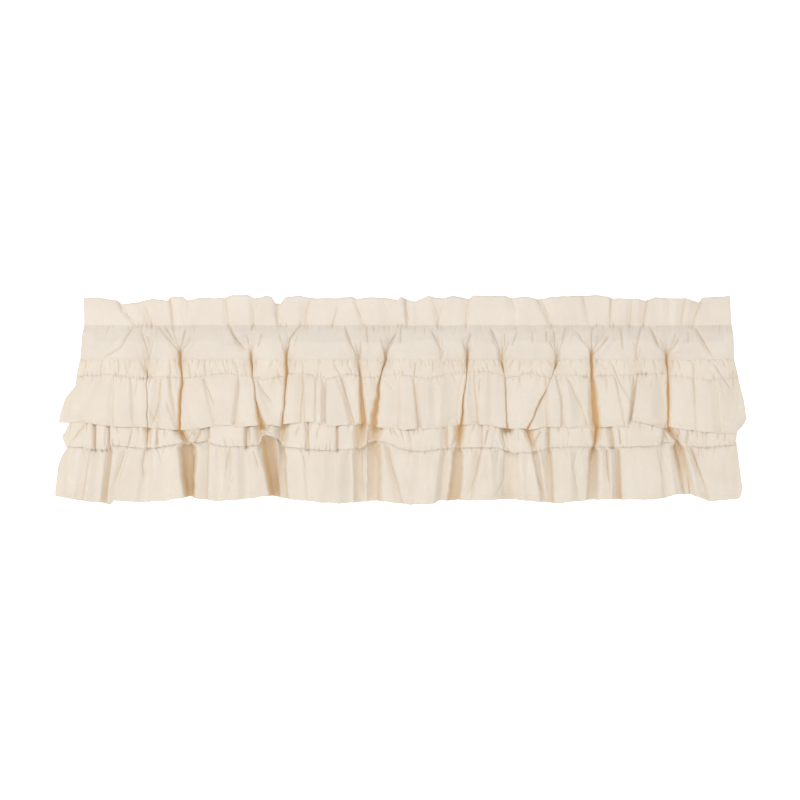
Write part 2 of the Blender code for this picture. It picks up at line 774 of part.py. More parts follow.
def cloth_piece(name, rows, material, collection):
    """Lofts a sheet through its rows of points and gives it the cloth's thickness."""
    mesh = bpy.data.meshes.new(name)
    build = bmesh.new()
    grid = [[build.verts.new(point * MM) for point in row] for row in rows]
    for upper, lower in zip(grid, grid[1:]):
        for left in range(len(upper) - 1):
            build.faces.new((upper[left], lower[left], lower[left + 1], upper[left + 1]))
    build.to_mesh(mesh)
    build.free()
    mesh.materials.append(material)
    piece = bpy.data.objects.new(name, mesh)
    collection.objects.link(piece)
    sheet = piece.modifiers.new("Cloth thickness", "SOLIDIFY")
    sheet.thickness = CLOTH_THICK * MM
    sheet.offset = 0.0
    return piece


def build_valance():
    """Clears the scene and makes the four pieces of cloth."""
    for old in list(bpy.data.objects):
        bpy.data.objects.remove(old)
    collection = bpy.data.collections.new("Window valance")
    bpy.context.scene.collection.children.link(collection)
    single = muslin("Unbleached muslin", MUSLIN)
    doubled = muslin("Unbleached muslin, doubled", MUSLIN_DOUBLED)
    cloth_piece("heading_band", band_rows(), doubled, collection)
    cloth_piece("panel", panel_rows(), single, collection)
    cloth_piece("upper_ruffle", upper_rows(), single, collection)
    cloth_piece("lower_ruffle", lower_rows(), single, collection)


build_valance()
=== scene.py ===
"""The look of a gathered window valance of unbleached muslin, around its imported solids.

Each piece of cloth is a fine sheet on its solid's folds, with the creases, gathers, hems and
stitching that the solids leave out. Metres, +Z up, the front of the cloth faces -Y. The tables
are in millimetres, from the middle of the rod pocket.
"""

from collections import namedtuple

import bpy
import numpy as np
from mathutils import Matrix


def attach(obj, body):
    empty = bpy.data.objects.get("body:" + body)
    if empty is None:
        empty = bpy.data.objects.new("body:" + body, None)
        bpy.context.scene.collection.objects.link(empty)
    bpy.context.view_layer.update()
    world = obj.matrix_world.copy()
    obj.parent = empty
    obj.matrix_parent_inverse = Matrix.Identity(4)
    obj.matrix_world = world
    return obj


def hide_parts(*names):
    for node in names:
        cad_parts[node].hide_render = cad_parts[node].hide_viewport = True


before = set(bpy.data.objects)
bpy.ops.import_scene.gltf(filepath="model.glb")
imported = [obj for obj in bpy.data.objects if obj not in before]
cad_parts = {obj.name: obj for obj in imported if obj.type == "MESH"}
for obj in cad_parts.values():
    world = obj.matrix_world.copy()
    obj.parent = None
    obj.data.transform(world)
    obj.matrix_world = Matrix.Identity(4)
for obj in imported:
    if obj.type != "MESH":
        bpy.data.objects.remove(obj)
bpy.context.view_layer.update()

MM = 0.001

# Cloth: its thickness, the step from one layer to the next, its hems and how softly they begin
CLOTH_THICK = 0.8
LAYER_STEP = 1.6
SIDE_HEM = 21.0
FOOT_HEM = 10.0
HEM_BEGINS = 1.5

# Heights, up from the rod's axis
HEADING_TOP_Z = 74.0
STITCH_Z = 20.0
POCKET_FOOT_Z = -50.0
PANEL_TOP_Z = -48.0
RUFFLE_SEAM_Z = -82.0
RUFFLE_HEM_Z = -184.0
PANEL_FOOT_Z = -224.0
VALANCE_FOOT_Z = -330.0

# Columns of points across each piece
BAND_COLUMNS = 930
PANEL_COLUMNS = 1050
RUFFLE_COLUMNS = 1600

# The heading above the stitching
HEADING_HALF_GAP = 0.9
HEADING_TURN = 1.6
HEADING_WAVE = 4.0
HEADING_WAVE_PACE = 47.0
HEADING_LEAN = 2.0
HEADING_SOFTER = 0.6
HEADING_CREASED = 0.32

# The rod pocket: its walls run round the rod, hang from the stitching and are full at the front
WALL_RADIUS = 15.2
STITCH_HOLDS = 12.0
HANG_STARTS = 0.45
HANG_GROWS_OVER = 0.5
POCKET_RELIEF = 0.62
POCKET_FULLNESS = 1.3
POCKET_FLATTER = 0.6
POCKET_BULGE = 2.0
POCKET_MOUTH = 2.8
BACK_CREASED = 0.4

# Ruffles: how far they stand out, and how their hems and seams lie on the panel
UPPER_STANDS_OUT = 11.0
UPPER_LIFT = 1.6
UPPER_WAIST = 0.35
HEM_TURNS_IN = 5.6
HEM_TURNS_OVER = 22.0
HEM_CLEARS = 1.1
LOWER_STANDS_OUT = 9.5
LOWER_TUCK = 6.0
LOWER_JOINS_OVER = 0.08
FOOT_LIP = 1.9
FOOT_LIP_IN_VALLEY = 0.2

# The panel's two strips that show: puckered above the upper ruffle, crumpled under it
PUCKER_STANDS_OUT = 3.3
STRIP_PUFF = 8.0
STRIP_PUFF_STARTS = 8.0
STRIP_PUFF_OVER = 10.0
STRIP_CRISPER = 0.35
PANEL_VALLEY_WIDER = 1.3

# Creases and folds: how sharp they come out, and the ridge beside each crease
CREASE_DEEPER = 1.25
CREASE_SHARPER = 0.6
CREASE_RIDGE = 0.45
CREASE_REACH = 20.0
GATHER_DEEPER = 1.15
STEEP_NARROWS = 0.5
SLOPE_WIDENS = 0.35
LAP_RISE = 1.6
LAP_LEVEL = 2.0
LAP_FADE = 4.0

# Valleys: where their lips are, and how they and the cloth's edges wander
VALLEY_LIP = 1.5
VALLEY_WANDERS = 1.3
VALLEY_PACE = 34.0
EDGE_RIPPLE = 0.7
SEAM_RIPPLE_PACE = 17.0
HEM_RIPPLE_PACE = 26.0
WANDER_WAVES = 7
WANDER_UPRIGHT = 0.6

# Unevenness of hanging cloth: how deep, how far from crest to crest, and its seed
Uneven = namedtuple("Uneven", "deep pace seed")
HEADING_UNEVEN = Uneven(0.7, 60.0, 5)
POCKET_UNEVEN = Uneven(0.5, 50.0, 6)
STRIP_UNEVEN = Uneven(0.4, 30.0, 7)
UPPER_UNEVEN = Uneven(1.1, 75.0, 8)
UPPER_RUMPLED = Uneven(0.4, 28.0, 9)
LOWER_UNEVEN = Uneven(1.1, 80.0, 10)
LOWER_RUMPLED = Uneven(0.4, 30.0, 11)

# Stitches: their length with the gap, their thread and how far the thread lies off the cloth
STITCH_PITCH = 2.8
THREAD_THICK = 0.35
THREAD_OUT = 0.45
STITCH_DENT = 1.2

# How far each line of stitches lies from its edge or seam
POCKET_STITCH_UP = 1.5
FOOT_STITCH_UP = 2.0
SEAM_STITCH_DOWN = 1.5

# How strongly steep walls glow with painted light. The lower ruffle's valleys are open and
# hold less light
WALL_GLOW = 0.95
LOWER_WALL_GLOW = 0.38

# Colours
CREAM = ("#E6DBCC", "#EBE1D3")
CREAM_DOUBLED = ("#E7DCCE", "#ECE2D5")
NO_TINT = "#FFFEFC"
# Painted shade: the grey of the pocket's front
POCKET_SHADE_GREY = "#F6F7F8"
SEED_BROWN = "#B99873"
# Painted shade in folds and creases, and the painted glow of deep folds
GOLDEN_FOLD_SHADE = "#CAAB7E"
GOLDEN_CREASE_SHADE = "#CCA97A"
GOLDEN_GLOW = "#E6C896"
THREAD_TONES = ("#E6DCCB", "#F2EADD")
PAPER_WHITE = "#F4F4F4"
AIR_WHITE = "#FFFEFC"

# The paper sweep, in metres
PAPER_HALF_WIDTH = 9.0
PAPER_TOP_Z = 8.0
FLOOR_Z = -1.35
FLOOR_BACK_Y = 3.6
SWEEP_RADIUS = 1.2


def table(kind, *rows):
    """The rows of a table, with their fields named."""
    return tuple(kind(*row) for row in rows)


# The valleys that run down through every layer. For each level: the valley's place along
# the width, how deep it goes back and its half width.
LEVELS = (POCKET_FOOT_Z, RUFFLE_SEAM_Z, RUFFLE_HEM_Z, PANEL_FOOT_Z, VALANCE_FOOT_Z)
VALLEY_CORNERS = (2.0, 2.1, 2.4, 2.8, 3.6)
Valley = namedtuple("Valley", "x deep wide")
VALLEYS = table(
    Valley,
    ((-524, -523, -521, -520, -528), (2, 7, 14, 7, 3), (6, 5, 5, 7, 9)),
    ((-456, -454, -457, -442, -439), (12, 20, 34, 28, 34), (7, 7, 8, 13, 9)),
    ((-314, -311, -297, -284, -266), (8, 15, 28, 24, 32), (6, 6, 8, 11, 8)),
    ((-244, -243, -251, -254, -248), (12, 24, 20, 16, 14), (7, 7, 8, 8, 6)),
    ((-100, -98, -92, -96, -92), (4, 9, 26, 18, 19), (6, 6, 7, 9, 9)),
    ((-44, -55, -65, -70, -71), (7, 13, 28, 22, 22), (7, 8, 7, 9, 11)),
    ((118, 118, 106, 102, 92), (9, 14, 28, 16, 22), (7, 7, 7, 7, 8)),
    ((186, 194, 198, 204, 207), (5, 14, 22, 11, 14), (7, 7, 6, 12, 13)),
    ((299, 290, 239, 254, 272), (5, 15, 22, 8, 9), (7, 7, 6, 7, 6)),
    ((368, 369, 380, 373, 369), (12, 20, 32, 16, 12), (7, 8, 9, 7, 8)),
    ((519, 521, 523, 540, 564), (9, 24, 26, 20, 10), (8, 8, 7, 8, 9)),
)

# How much of each valley the crumpled strip under the upper ruffle fills
STRIP_FILLS = (0.3, 0.42, 0.5, 0.2, 0.1, 0.1, 0.1, 0.7, 0.25, 0.1, 0.35)
NOT_FILLED = (0.0,) * len(VALLEYS)
# The cloth between two valleys bows forwards by a share of its width, up to a most
LOBE_CROWN = 0.055
LOBE_CROWN_MOST = 8.0

# How far each valley's two lips stay apart, as a half width, at the top and the foot of each
# piece, and for the upper ruffle also at its waist, which is somewhat above its middle
Mouth = namedtuple(
    "Mouth", "upper_top upper_waist upper_foot strip_top strip_foot lower_top lower_foot"
)
MOUTHS = table(
    Mouth,
    (0.6, 0.5, 0.6, 4, 5, 9, 9), (1.6, 2.8, 2.2, 5, 8, 16, 8), (1.0, 0.5, 3.0, 6, 13, 15, 9),
    (2.8, 1.4, 0.8, 8, 8, 7, 7), (0.6, 1.2, 2.4, 8, 9, 14, 14), (0.8, 1.8, 3.0, 9, 9, 14, 15),
    (0.6, 1.0, 2.6, 4, 4, 9, 11), (0.5, 0.45, 0.5, 14, 14, 16, 18), (0.5, 0.6, 0.5, 5, 5, 6, 5),
    (3.0, 5.6, 4.4, 3, 3, 8, 10), (0.7, 2.6, 0.7, 4, 5, 10, 12),
)

# The cloth's side edges: left and right places at a few heights
Side = namedtuple("Side", "z left right")
BAND_SIDES = table(
    Side,
    (76, -650, 646), (20, -649, 649), (-16, -650, 653), (-50, -657, 654),
)
PANEL_SIDES = table(
    Side,
    (-42, -655, 653), (-50, -658, 654), (-83, -665, 663), (-180, -676, 660), (-212, -693, 656),
    (-226, -684, 658),
)
UPPER_SIDES = table(
    Side,
    (-80, -664, 662), (-102, -665, 666), (-130, -686, 672), (-176, -698, 677), (-198, -700, 658),
)
LOWER_SIDES = table(
    Side,
    (-212, -676, 656), (-228, -684, 659), (-270, -700, 664), (-320, -706, 670), (-332, -706, 664),
)

# Soft folds of one piece of cloth: each one's place, depth and half width at the piece's top and
# foot, and how far the cloth at its right (or, below nought, its left) laps over it. Edge says
# which side of the fold is the steep one: 1 the right, -1 the left.
Fold = namedtuple(
    "Fold", "top_x foot_x top_deep foot_deep top_wide foot_wide lap edge", defaults=(0, 0)
)
HEADING_FOLDS = table(
    Fold,
    (-580, -548, 8, 5, 9, 6, 0, -1), (-532, -514, 5, 7, 8, 5, 0, 1),
    (-478, -470, 7, 5, 7, 6, 0, -1), (-444, -448, 6, 2, 7, 6, 0, 1), (-364, -359, 5, 4, 6, 6),
    (-306, -308, 5, 7, 8, 5), (-262, -260, 12, 5, 9, 6, 0, -1), (-199, -208, 5, 7, 8, 6, 0, 1),
    (-142, -151, 4, 6, 9, 6, 0, 1), (-106, -90, 6, 3, 8, 7, 0, -1), (-50, -43, 5, 3, 8, 7),
    (-4, -1, 10, 6, 7, 6, 0, -1), (20, 16, 6, 3, 9, 6), (62, 62, 5, 7, 9, 5),
    (122, 116, 7, 6, 7, 5, 0, 1), (208, 214, 5, 3, 8, 7), (262, 286, 8, 4, 9, 7, 0, -1),
    (352, 364, 5, 3, 8, 7, 0, -1), (409, 406, 7, 3, 6, 6, 0, -1), (448, 446, 6, 5, 7, 5),
    (478, 472, 7, 6, 7, 5, 0, 1), (524, 524, 5, 3, 7, 7), (556, 548, 5, 5, 7, 6, 0, 1),
    (586, 570, 10, 5, 8, 6, 0, 1),
)
POCKET_FOLDS = table(
    Fold,
    (-553, -612, 4, 6, 6, 12), (-528, -518, 5, 6, 6, 8), (-482, -458, 5, 9, 6, 9),
    (-358, -322, 5, 8, 6, 9, 0, -1), (-214, -240, 6, 9, 6, 8, 0, 1),
    (-128, -102, 5, 6, 6, 9, 0, -1), (-22, -46, 6, 9, 6, 8, 0, 1), (54, 66, 5, 5, 6, 8),
    (126, 118, 5, 8, 6, 8, 0, 1), (164, 188, 5, 7, 6, 9, 0, -1), (292, 298, 5, 6, 6, 8),
    (398, 368, 6, 9, 6, 8, 0, 1), (466, 456, 5, 4, 6, 8), (484, 512, 5, 8, 6, 8, 0, -1),
    (570, 612, 4, 5, 6, 10, 0, -1),
)
STRIP_FOLDS = table(
    Fold,
    (-614, -624, 9, 9, 3.4, 3.4, 3, 1), (-590, -596, 9, 9, 3.4, 3.4, 3, 1),
    (-418, -414, 6, 6, 7, 7, 0, -1), (-500, -500, 4, 4, 4, 4, 0, -1),
    (-396, -398, 7, 7, 5, 5, 3, 1), (-328, -325, 10, 10, 4, 4, 2, -1),
    (-194, -199, 7, 7, 4, 4, 2, 1), (-152, -142, 7, 7, 4, 4, 2, -1), (4, 6, 3, 3, 6, 6),
    (78, 76, 7, 7, 5, 5, 3, 1), (150, 148, 5, 5, 5, 5, 2, 1), (281, 283, 8, 8, 4, 4, 3, 1),
    (412, 412, 8, 8, 4, 4, 2, 1), (502, 508, 6, 6, 5, 5, 0, -1), (598, 598, 3, 3, 6, 6),
)
UPPER_FOLDS = table(
    Fold,
    (-600, -648, 4, 6, 8, 14), (-590, -590, 3, 4, 4, 5, 0, 1), (-554, -548, 4, 3, 6, 7, 0, -1),
    (-496, -500, 6, 5, 4, 5, 1, 1), (-482, -470, 3, 6, 4, 7, 0, -1), (-440, -424, 5, 6, 7, 9),
    (-410, -384, 4, 3, 5, 8, 0, -1), (-338, -346, 7, 8, 7, 9, 0, -1),
    (-290, -270, 4, 2, 6, 8, 0, -1), (-210, -206, 6, 6, 5, 6, 1, 1),
    (-184, -184, 4, 3, 4, 5, 0, -1), (-166, -166, 7, 9, 4, 5, 3, 1),
    (-134, -116, 6, 6, 5, 7, 1, -1), (-16, -22, 5, 6, 7, 8, 0, 1), (12, 22, 6, 9, 5, 6, 2, -1),
    (52, 56, 4, 5, 7, 8), (94, 86, 9, 11, 10, 12, 0, 1), (138, 141, 6, 8, 5, 6, 2, 1),
    (164, 162, 3, 3, 4, 5), (284, 278, 5, 5, 5, 6, 0, 1), (308, 308, 6, 6, 5, 5, 1, -1),
    (328, 352, 4, 7, 6, 8, 4, 1), (362, 366, 9, 10, 4, 4, 2, 1), (415, 436, 5, 3, 5, 7, 0, -1),
    (458, 447, 8, 12, 4, 5, 7, 1), (508, 507, 9, 11, 9, 10, 0, 1), (572, 578, 4, 3, 5, 7, 0, -1),
    (616, 624, 3, 4, 5, 6, 0, 1),
)
LOWER_FOLDS = table(
    Fold,
    (-676, -678, 3, 3, 6, 7), (-637, -654, 7, 9, 6, 8, 2, 1), (-594, -604, 12, 17, 7, 8, 9, 1),
    (-616, -624, 7, 9, 9, 11), (-562, -582, 4, 3, 5, 6, 0, 1), (-486, -492, 3, 3, 8, 10),
    (-400, -404, 6, 9, 5, 6, 1, 1), (-376, -378, 4, 4, 6, 7), (-354, -362, 5, 4, 5, 6, 0, 1),
    (-326, -324, 6, 9, 8, 9), (-288, -272, 7, 9, 9, 9, 0, -1), (-206, -198, 4, 3, 7, 9, 0, -1),
    (-150, -158, 3, 4, 6, 7, 0, 1), (-118, -118, 5, 7, 10, 11), (-42, -12, 6, 7, 5, 6, 0, 1),
    (20, 16, 3, 4, 8, 9), (76, 64, 9, 12, 12, 14, 0, -1), (146, 124, 6, 6, 5, 7, 0, 1),
    (178, 184, 5, 4, 7, 8), (236, 240, 4, 4, 7, 8), (283, 290, 12, 13, 6, 7, 2, 1),
    (334, 341, 5, 6, 6, 8), (398, 404, 6, 4, 5, 6, 0, 1), (420, 425, 11, 16, 6, 8, 5, 1),
    (508, 516, 6, 5, 8, 10, 0, -1), (532, 552, 6, 8, 6, 8, 0, 1), (566, 600, 7, 7, 5, 7, 2, 1),
)

# Creases of the whole front. Each runs through a few points, and its deep and wide are its
# depth, below nought for a ridge, and its half width. Edge is as for a fold. Fade says over
# which shares of its length it begins and ends.
Crease = namedtuple("Crease", "x z deep wide edge fade", defaults=(0, (0.18, 0.25)))
HEADING_CREASES = table(
    Crease,
    ((-590, -570, -546), (74, 50, 22), 2.4, 6, -1), ((-548, -534, -524), (48, 50, 24), 1.6, 3),
    ((-534, -516), (68, 30), 2.0, 4, 1), ((-496, -482), (60, 40), 1.4, 4),
    ((-478, -471), (78, 18), 2.2, 4, -1), ((-452, -448), (78, 30), 1.6, 4, 1),
    ((-412, -410), (74, 40), 0.8, 5), ((-366, -360), (80, 20), 1.8, 5),
    ((-318, -310), (78, 42), 1.8, 4, -1), ((-294, -310), (78, 42), 1.8, 4, 1),
    ((-310, -308), (50, 24), 2.4, 3), ((-274, -262), (82, 18), 3.4, 4, -1),
    ((-252, -256), (76, 26), 2.0, 4, 1), ((-196, -212), (72, 28), 2.2, 5, 1),
    ((-184, -202), (62, 30), 1.4, 4, 1), ((-138, -152), (62, 20), 2.2, 4, 1),
    ((-126, -138), (66, 36), 1.2, 4), ((-116, -88), (80, 24), 2.2, 6, -1),
    ((-54, -36), (78, 30), 1.4, 6, -1), ((-12, 2), (82, 22), 3.4, 4, -1),
    ((46, 62), (78, 34), 1.8, 4, -1), ((76, 62), (80, 34), 1.8, 4, 1), ((62, 60), (40, 20), 2.4, 3),
    ((124, 114), (82, 22), 2.8, 4, 1), ((158, 166), (60, 26), 1.2, 4),
    ((204, 216), (80, 40), 1.4, 6, -1), ((246, 240), (78, 36), 1.0, 5),
    ((264, 288), (76, 24), 2.4, 5, -1), ((350, 366), (80, 26), 1.8, 5, -1),
    ((408, 404), (84, 28), 2.4, 3, -1), ((450, 446), (80, 22), 1.6, 6, 1),
    ((482, 470), (80, 18), 2.6, 5, 1), ((524, 522), (80, 30), 1.6, 5),
    ((556, 546), (76, 18), 2.0, 4, 1), ((594, 568), (78, 22), 2.6, 6, 1),
)
POCKET_CREASES = table(
    Crease,
    ((-548, -574, -618), (22, -24, -52), 2.4, 4, -1), ((-532, -518), (6, -44), 2.2, 3, 1),
    ((-521, -514), (2, -42), 2.0, 3, -1), ((-504, -458), (22, -34), 2.0, 3, -1),
    ((-488, -460), (20, -26), 1.8, 3, -1), ((-473, -459), (20, -30), 2.2, 3, -1),
    ((-442, -456, -455), (22, -34, -84), 3.0, 3, 1), ((-360, -350, -322), (24, 0, -38), 2.6, 4, -1),
    ((-310, -314), (26, 6), 3.0, 3), ((-322, -318), (2, -22), 1.8, 3),
    ((-290, -300), (6, -26), 1.8, 3, 1), ((-210, -236, -240, -244), (26, -8, -30, -84), 3.4, 4, 1),
    ((-258, -250), (4, -30), 1.8, 3, -1), ((-128, -114, -100), (22, -20, -54), 2.4, 4, -1),
    ((-84, -80), (24, -22), 1.8, 3), ((-18, -38, -46), (12, -22, -86), 3.6, 4, 1),
    ((-14, -14), (24, -22), 1.6, 3, 1), ((44, 66), (14, -32), 2.2, 3, -1),
    ((56, 68), (0, -34), 1.8, 3, -1), ((128, 118, 118), (8, -18, -54), 2.6, 4, 1),
    ((162, 180, 188), (20, -20, -54), 2.4, 4, -1), ((194, 193), (6, -44), 2.0, 3, 1),
    ((220, 206), (8, -26), 1.8, 3, 1), ((248, 249), (10, -16), 1.6, 3),
    ((276, 278), (10, -18), 1.6, 3), ((292, 294), (10, -20), 1.8, 3),
    ((318, 302), (22, -44), 2.4, 4, 1), ((336, 362), (8, -32), 2.0, 3, -1),
    ((380, 367, 366), (28, 8, -34), 2.2, 3), ((404, 390, 368), (0, -18, -54), 3.4, 4, 1),
    ((426, 430), (20, -34), 1.8, 4), ((468, 455), (22, -36), 2.0, 4, 1),
    ((482, 512), (20, -44), 2.2, 4, -1), ((506, 508), (-4, -46), 2.2, 3),
    ((544, 521), (-2, -54), 2.6, 4, 1), ((570, 612), (22, -48), 2.2, 4, -1),
    ((534, 532), (6, -20), 1.6, 3), ((560, 560), (10, -20), 1.4, 3),
)
STRIP_CREASES = table(
    Crease,
    ((-578, -578), (-50, -84), 1.6, 2.5, 1), ((-568, -560), (-50, -84), 1.6, 2.5, -1),
    ((-536, -532), (-46, -84), 2.0, 3, -1), ((-482, -480), (-50, -86), 1.8, 2.5),
    ((-436, -430), (-50, -84), 1.6, 2.5, -1), ((-410, -404), (-50, -84), 1.8, 2.5, -1),
    ((-374, -362), (-46, -80), 1.6, 2.5, -1), ((-348, -342), (-48, -82), 1.8, 2.5, -1),
    ((-310, -312), (-52, -78), 3.0, 3), ((-210, -208), (-48, -84), 1.8, 2.5, 1),
    ((-152, -136, -132), (-54, -80, -100), 1.6, 2.5, -1), ((-124, -118), (-50, -82), 1.4, 2.5),
    ((16, 12), (-50, -92), 2.0, 3, 1), ((50, 50), (-48, -76), 1.8, 2.5),
    ((118, 116), (-54, -80), 2.6, 3, 1), ((156, 158), (-50, -78), 1.4, 2.5),
    ((224, 226), (-48, -78), 1.6, 2.5, -1), ((302, 294), (-52, -90), 2.8, 3, 1),
    ((404, 424, 452), (-46, -98, -144), 2.0, 4, -1), ((368, 368), (-50, -82), 2.8, 3),
    ((522, 521), (-54, -84), 3.0, 3), ((540, 528), (-60, -84), 1.6, 3, 1),
    ((570, 574), (-50, -116), 1.8, 3, -1), ((608, 626, 650), (-52, -80, -114), 1.8, 3, -1),
)
RUFFLE_CREASES = table(
    Crease,
    ((-526, -521), (-76, -110), 1.8, 3), ((-509, -512), (-80, -98), 1.8, 2.5),
    ((-494, -494, -508), (-84, -134, -186), 2.2, 3, 1), ((-488, -474), (-130, -190), 2.0, 4, -1),
    ((-512, -500), (-144, -180), 1.6, 3, -1), ((-478, -482), (-82, -120), 1.4, 3),
    ((-412, -384), (-84, -146), 2.0, 4, -1), ((-404, -402), (-88, -110), 1.2, 3),
    ((-298, -272), (-84, -140), 2.0, 4, -1), ((-206, -212), (-84, -190), 1.6, 3, 1),
    ((-146, -124), (-80, -150), 1.6, 3, -1), ((-136, -112), (-80, -186), 2.0, 3, -1),
    ((-84, -100), (-92, -140), 1.8, 3, 1), ((-40, -22), (-88, -116), 1.4, 3),
    ((103, 104), (-82, -110), 2.4, 2.5), ((150, 144), (-82, -130), 1.6, 3, 1),
    ((198, 208), (-92, -120), 1.8, 3), ((268, 266), (-82, -112), 2.2, 2.5),
    ((288, 286), (-98, -150), 1.8, 3, 1), ((322, 346), (-88, -152), 2.0, 4, -1),
    ((310, 316), (-84, -104), 1.2, 3), ((402, 400), (-84, -110), 1.6, 3),
    ((486, 482), (-84, -110), 1.6, 3), ((510, 521), (-90, -124), 3.0, 4, -1),
    ((534, 552), (-94, -80), 1.2, 3),
)
FOOT_CREASES = table(
    Crease,
    ((-430, -429), (-226, -330), -11.0, 5), ((-644, -674), (-178, -214), 1.6, 3, -1),
    ((-604, -606), (-182, -228), 1.8, 2.5), ((-550, -560), (-184, -228), 2.0, 3, 1),
    ((-524, -524), (-186, -228), 2.2, 2.5), ((-510, -510), (-186, -224), 1.2, 2.5),
    ((-502, -500), (-184, -226), 2.2, 2.5, 1),
    ((-465, -461, -452), (-184, -204, -228), 5.0, 2.6, -1, (0.1, 0.2)),
    ((-456, -449, -443), (-192, -202, -212), 4.0, 2.4, 1, (0.2, 0.3)),
    ((-424, -428, -434), (-188, -204, -222), 2.0, 3, 1), ((-318, -314), (-186, -222), 1.8, 2.5, 1),
    ((-308, -302), (-186, -218), 1.6, 2.5, 1), ((-216, -226), (-178, -204), 1.6, 3, 1),
    ((-180, -182), (-184, -210), 1.2, 3), ((-80, -80), (-186, -226), 3.0, 3),
    ((-34, -20), (-184, -202), 2.2, 3), ((96, 84), (-188, -226), 2.4, 3, -1),
    ((118, 110), (-184, -222), 2.8, 3, 1), ((164, 154), (-184, -224), 2.0, 2.5, 1),
    ((186, 195), (-184, -232), 2.2, 3, -1), ((220, 220), (-188, -212), 1.2, 3),
    ((238, 250), (-190, -230), 2.0, 3, -1), ((268, 254), (-188, -228), 2.6, 3, 1),
    ((356, 366), (-184, -222), 1.8, 3, -1), ((388, 374, 362), (-184, -222, -260), 3.4, 3, 1),
    ((424, 426), (-184, -224), 2.2, 3), ((504, 518), (-188, -216), 1.8, 3, -1),
    ((512, 524), (-184, -214), 1.4, 3, -1), ((546, 548), (-188, -224), 3.4, 3, -1),
    ((560, 562), (-188, -222), 2.0, 3, 1), ((-526, -534, -526), (-222, -262, -288), 2.0, 4, 1),
    ((-564, -582), (-224, -304), 2.0, 5, 1), ((-312, -298), (-226, -268), 1.8, 3, -1),
    ((-356, -364), (-226, -276), 1.6, 3, 1), ((-346, -360), (-280, -312), 1.6, 3, 1),
    ((-216, -204), (-224, -264), 1.8, 4, -1), ((-92, -90), (-224, -326), 1.4, 6, 1),
    ((-42, -30, -10), (-224, -270, -322), 2.0, 5, 1), ((4, 0), (-228, -266), 1.2, 4),
    ((148, 136, 122), (-226, -280, -320), 2.0, 4, 1), ((180, 178), (-224, -260), 1.8, 4),
    ((192, 190, 172), (-232, -286, -330), 2.0, 4, -1),
    ((250, 254, 274), (-236, -276, -328), 2.4, 4, -1),
    ((340, 330, 342), (-224, -262, -330), 1.8, 6), ((396, 402), (-222, -300), 2.2, 4, -1),
    ((498, 508), (-222, -284), 2.0, 5, -1), ((534, 560), (-222, -318), 1.8, 5, -1),
    ((564, 602), (-222, -318), 2.4, 4, -1), ((562, 566), (-280, -326), 2.2, 3, -1),
    ((586, 590), (-224, -244), 1.4, 3),
)

# Rucks that run across the cloth. Those with a depth below nought are ridges.
RUCK_ENDS = 6.0
Ruck = namedtuple("Ruck", "x z deep wide")
RUCKS = table(
    Ruck,
    ((166, 184, 198, 224, 261, 287), (-328, -320, -317, -321, -322, -329), 1.6, 2.0),
    ((532, 548, 574), (-40, -35, -34), 1.6, 2.0), ((-556, -542, -528), (44, 51, 28), 1.6, 2.0),
    ((-190, -176, -160), (-60, -54, -62), 1.6, 2.0), ((376, 390, 404), (-66, -58, -68), 1.6, 2.0),
    ((-452, -436, -424), (-193, -196, -190), -2.0, 3.0),
    ((-448, -440, -432), (-206, -199, -206), -2.6, 2.4),
    ((-448, -440, -432), (-211, -213, -209), 2.2, 2.2),
    ((-300, -282, -258), (-192, -192, -200), -1.8, 3.0),
    ((-300, -280, -256), (-198, -196, -206), 1.2, 2.0),
    ((528, 544, 556), (-206, -212, -200), 1.6, 2.0),
    ((524, 534, 552), (-196, -204, -210), -2.2, 2.6),
    ((-36, -22, -14), (-196, -204, -202), 1.6, 2.0),
)

# Edges that rise and fall along the width. Those of two points are straight
Edge = namedtuple("Edge", "x z")
STITCH_LINE = (Edge(-660, STITCH_Z), Edge(660, STITCH_Z))
POCKET_FOOT = (Edge(-660, POCKET_FOOT_Z), Edge(660, POCKET_FOOT_Z))
PANEL_TOP = (Edge(-660, PANEL_TOP_Z), Edge(660, PANEL_TOP_Z))
HEADING_EDGE = table(
    Edge,
    (-648, 74), (-622, 75), (-584, 69), (-574, 62), (-552, 64), (-512, 73), (-484, 69), (-476, 77),
    (-452, 77), (-442, 69), (-420, 74), (-368, 74), (-352, 80), (-322, 80), (-310, 74), (-286, 78),
    (-274, 77), (-266, 64), (-256, 64), (-248, 75), (-216, 80), (-198, 74), (-140, 74), (-114, 77),
    (-102, 73), (-64, 76), (-20, 71), (-14, 77), (6, 68), (16, 68), (38, 78), (70, 74), (90, 79),
    (122, 73), (131, 79), (194, 78), (210, 74), (240, 77), (260, 71), (292, 77), (374, 80),
    (400, 78), (410, 73), (448, 73), (476, 69), (494, 75), (534, 73), (560, 73), (584, 65),
    (592, 75), (644, 78),
)
UPPER_SEAM = table(
    Edge,
    (-665, -83), (-596, -79), (-536, -87), (-500, -83), (-438, -86), (-364, -76), (-286, -88),
    (-216, -75), (-158, -87), (-124, -78), (-82, -84), (-14, -79), (40, -87), (80, -78), (158, -73),
    (202, -88), (248, -75), (274, -87), (294, -79), (352, -83), (464, -78), (508, -77), (606, -90),
    (664, -84),
)
UPPER_HEM = table(
    Edge,
    (-698, -176), (-655, -175), (-588, -184), (-522, -185), (-472, -190), (-428, -190),
    (-370, -180), (-336, -184), (-286, -179), (-260, -184), (-246, -179), (-196, -174),
    (-150, -183), (-116, -179), (-80, -178), (-60, -184), (-8, -190), (64, -187), (100, -179),
    (152, -180), (192, -187), (260, -189), (276, -184), (362, -186), (444, -182), (450, -170),
    (506, -187), (524, -183), (584, -194), (654, -198), (677, -176),
)
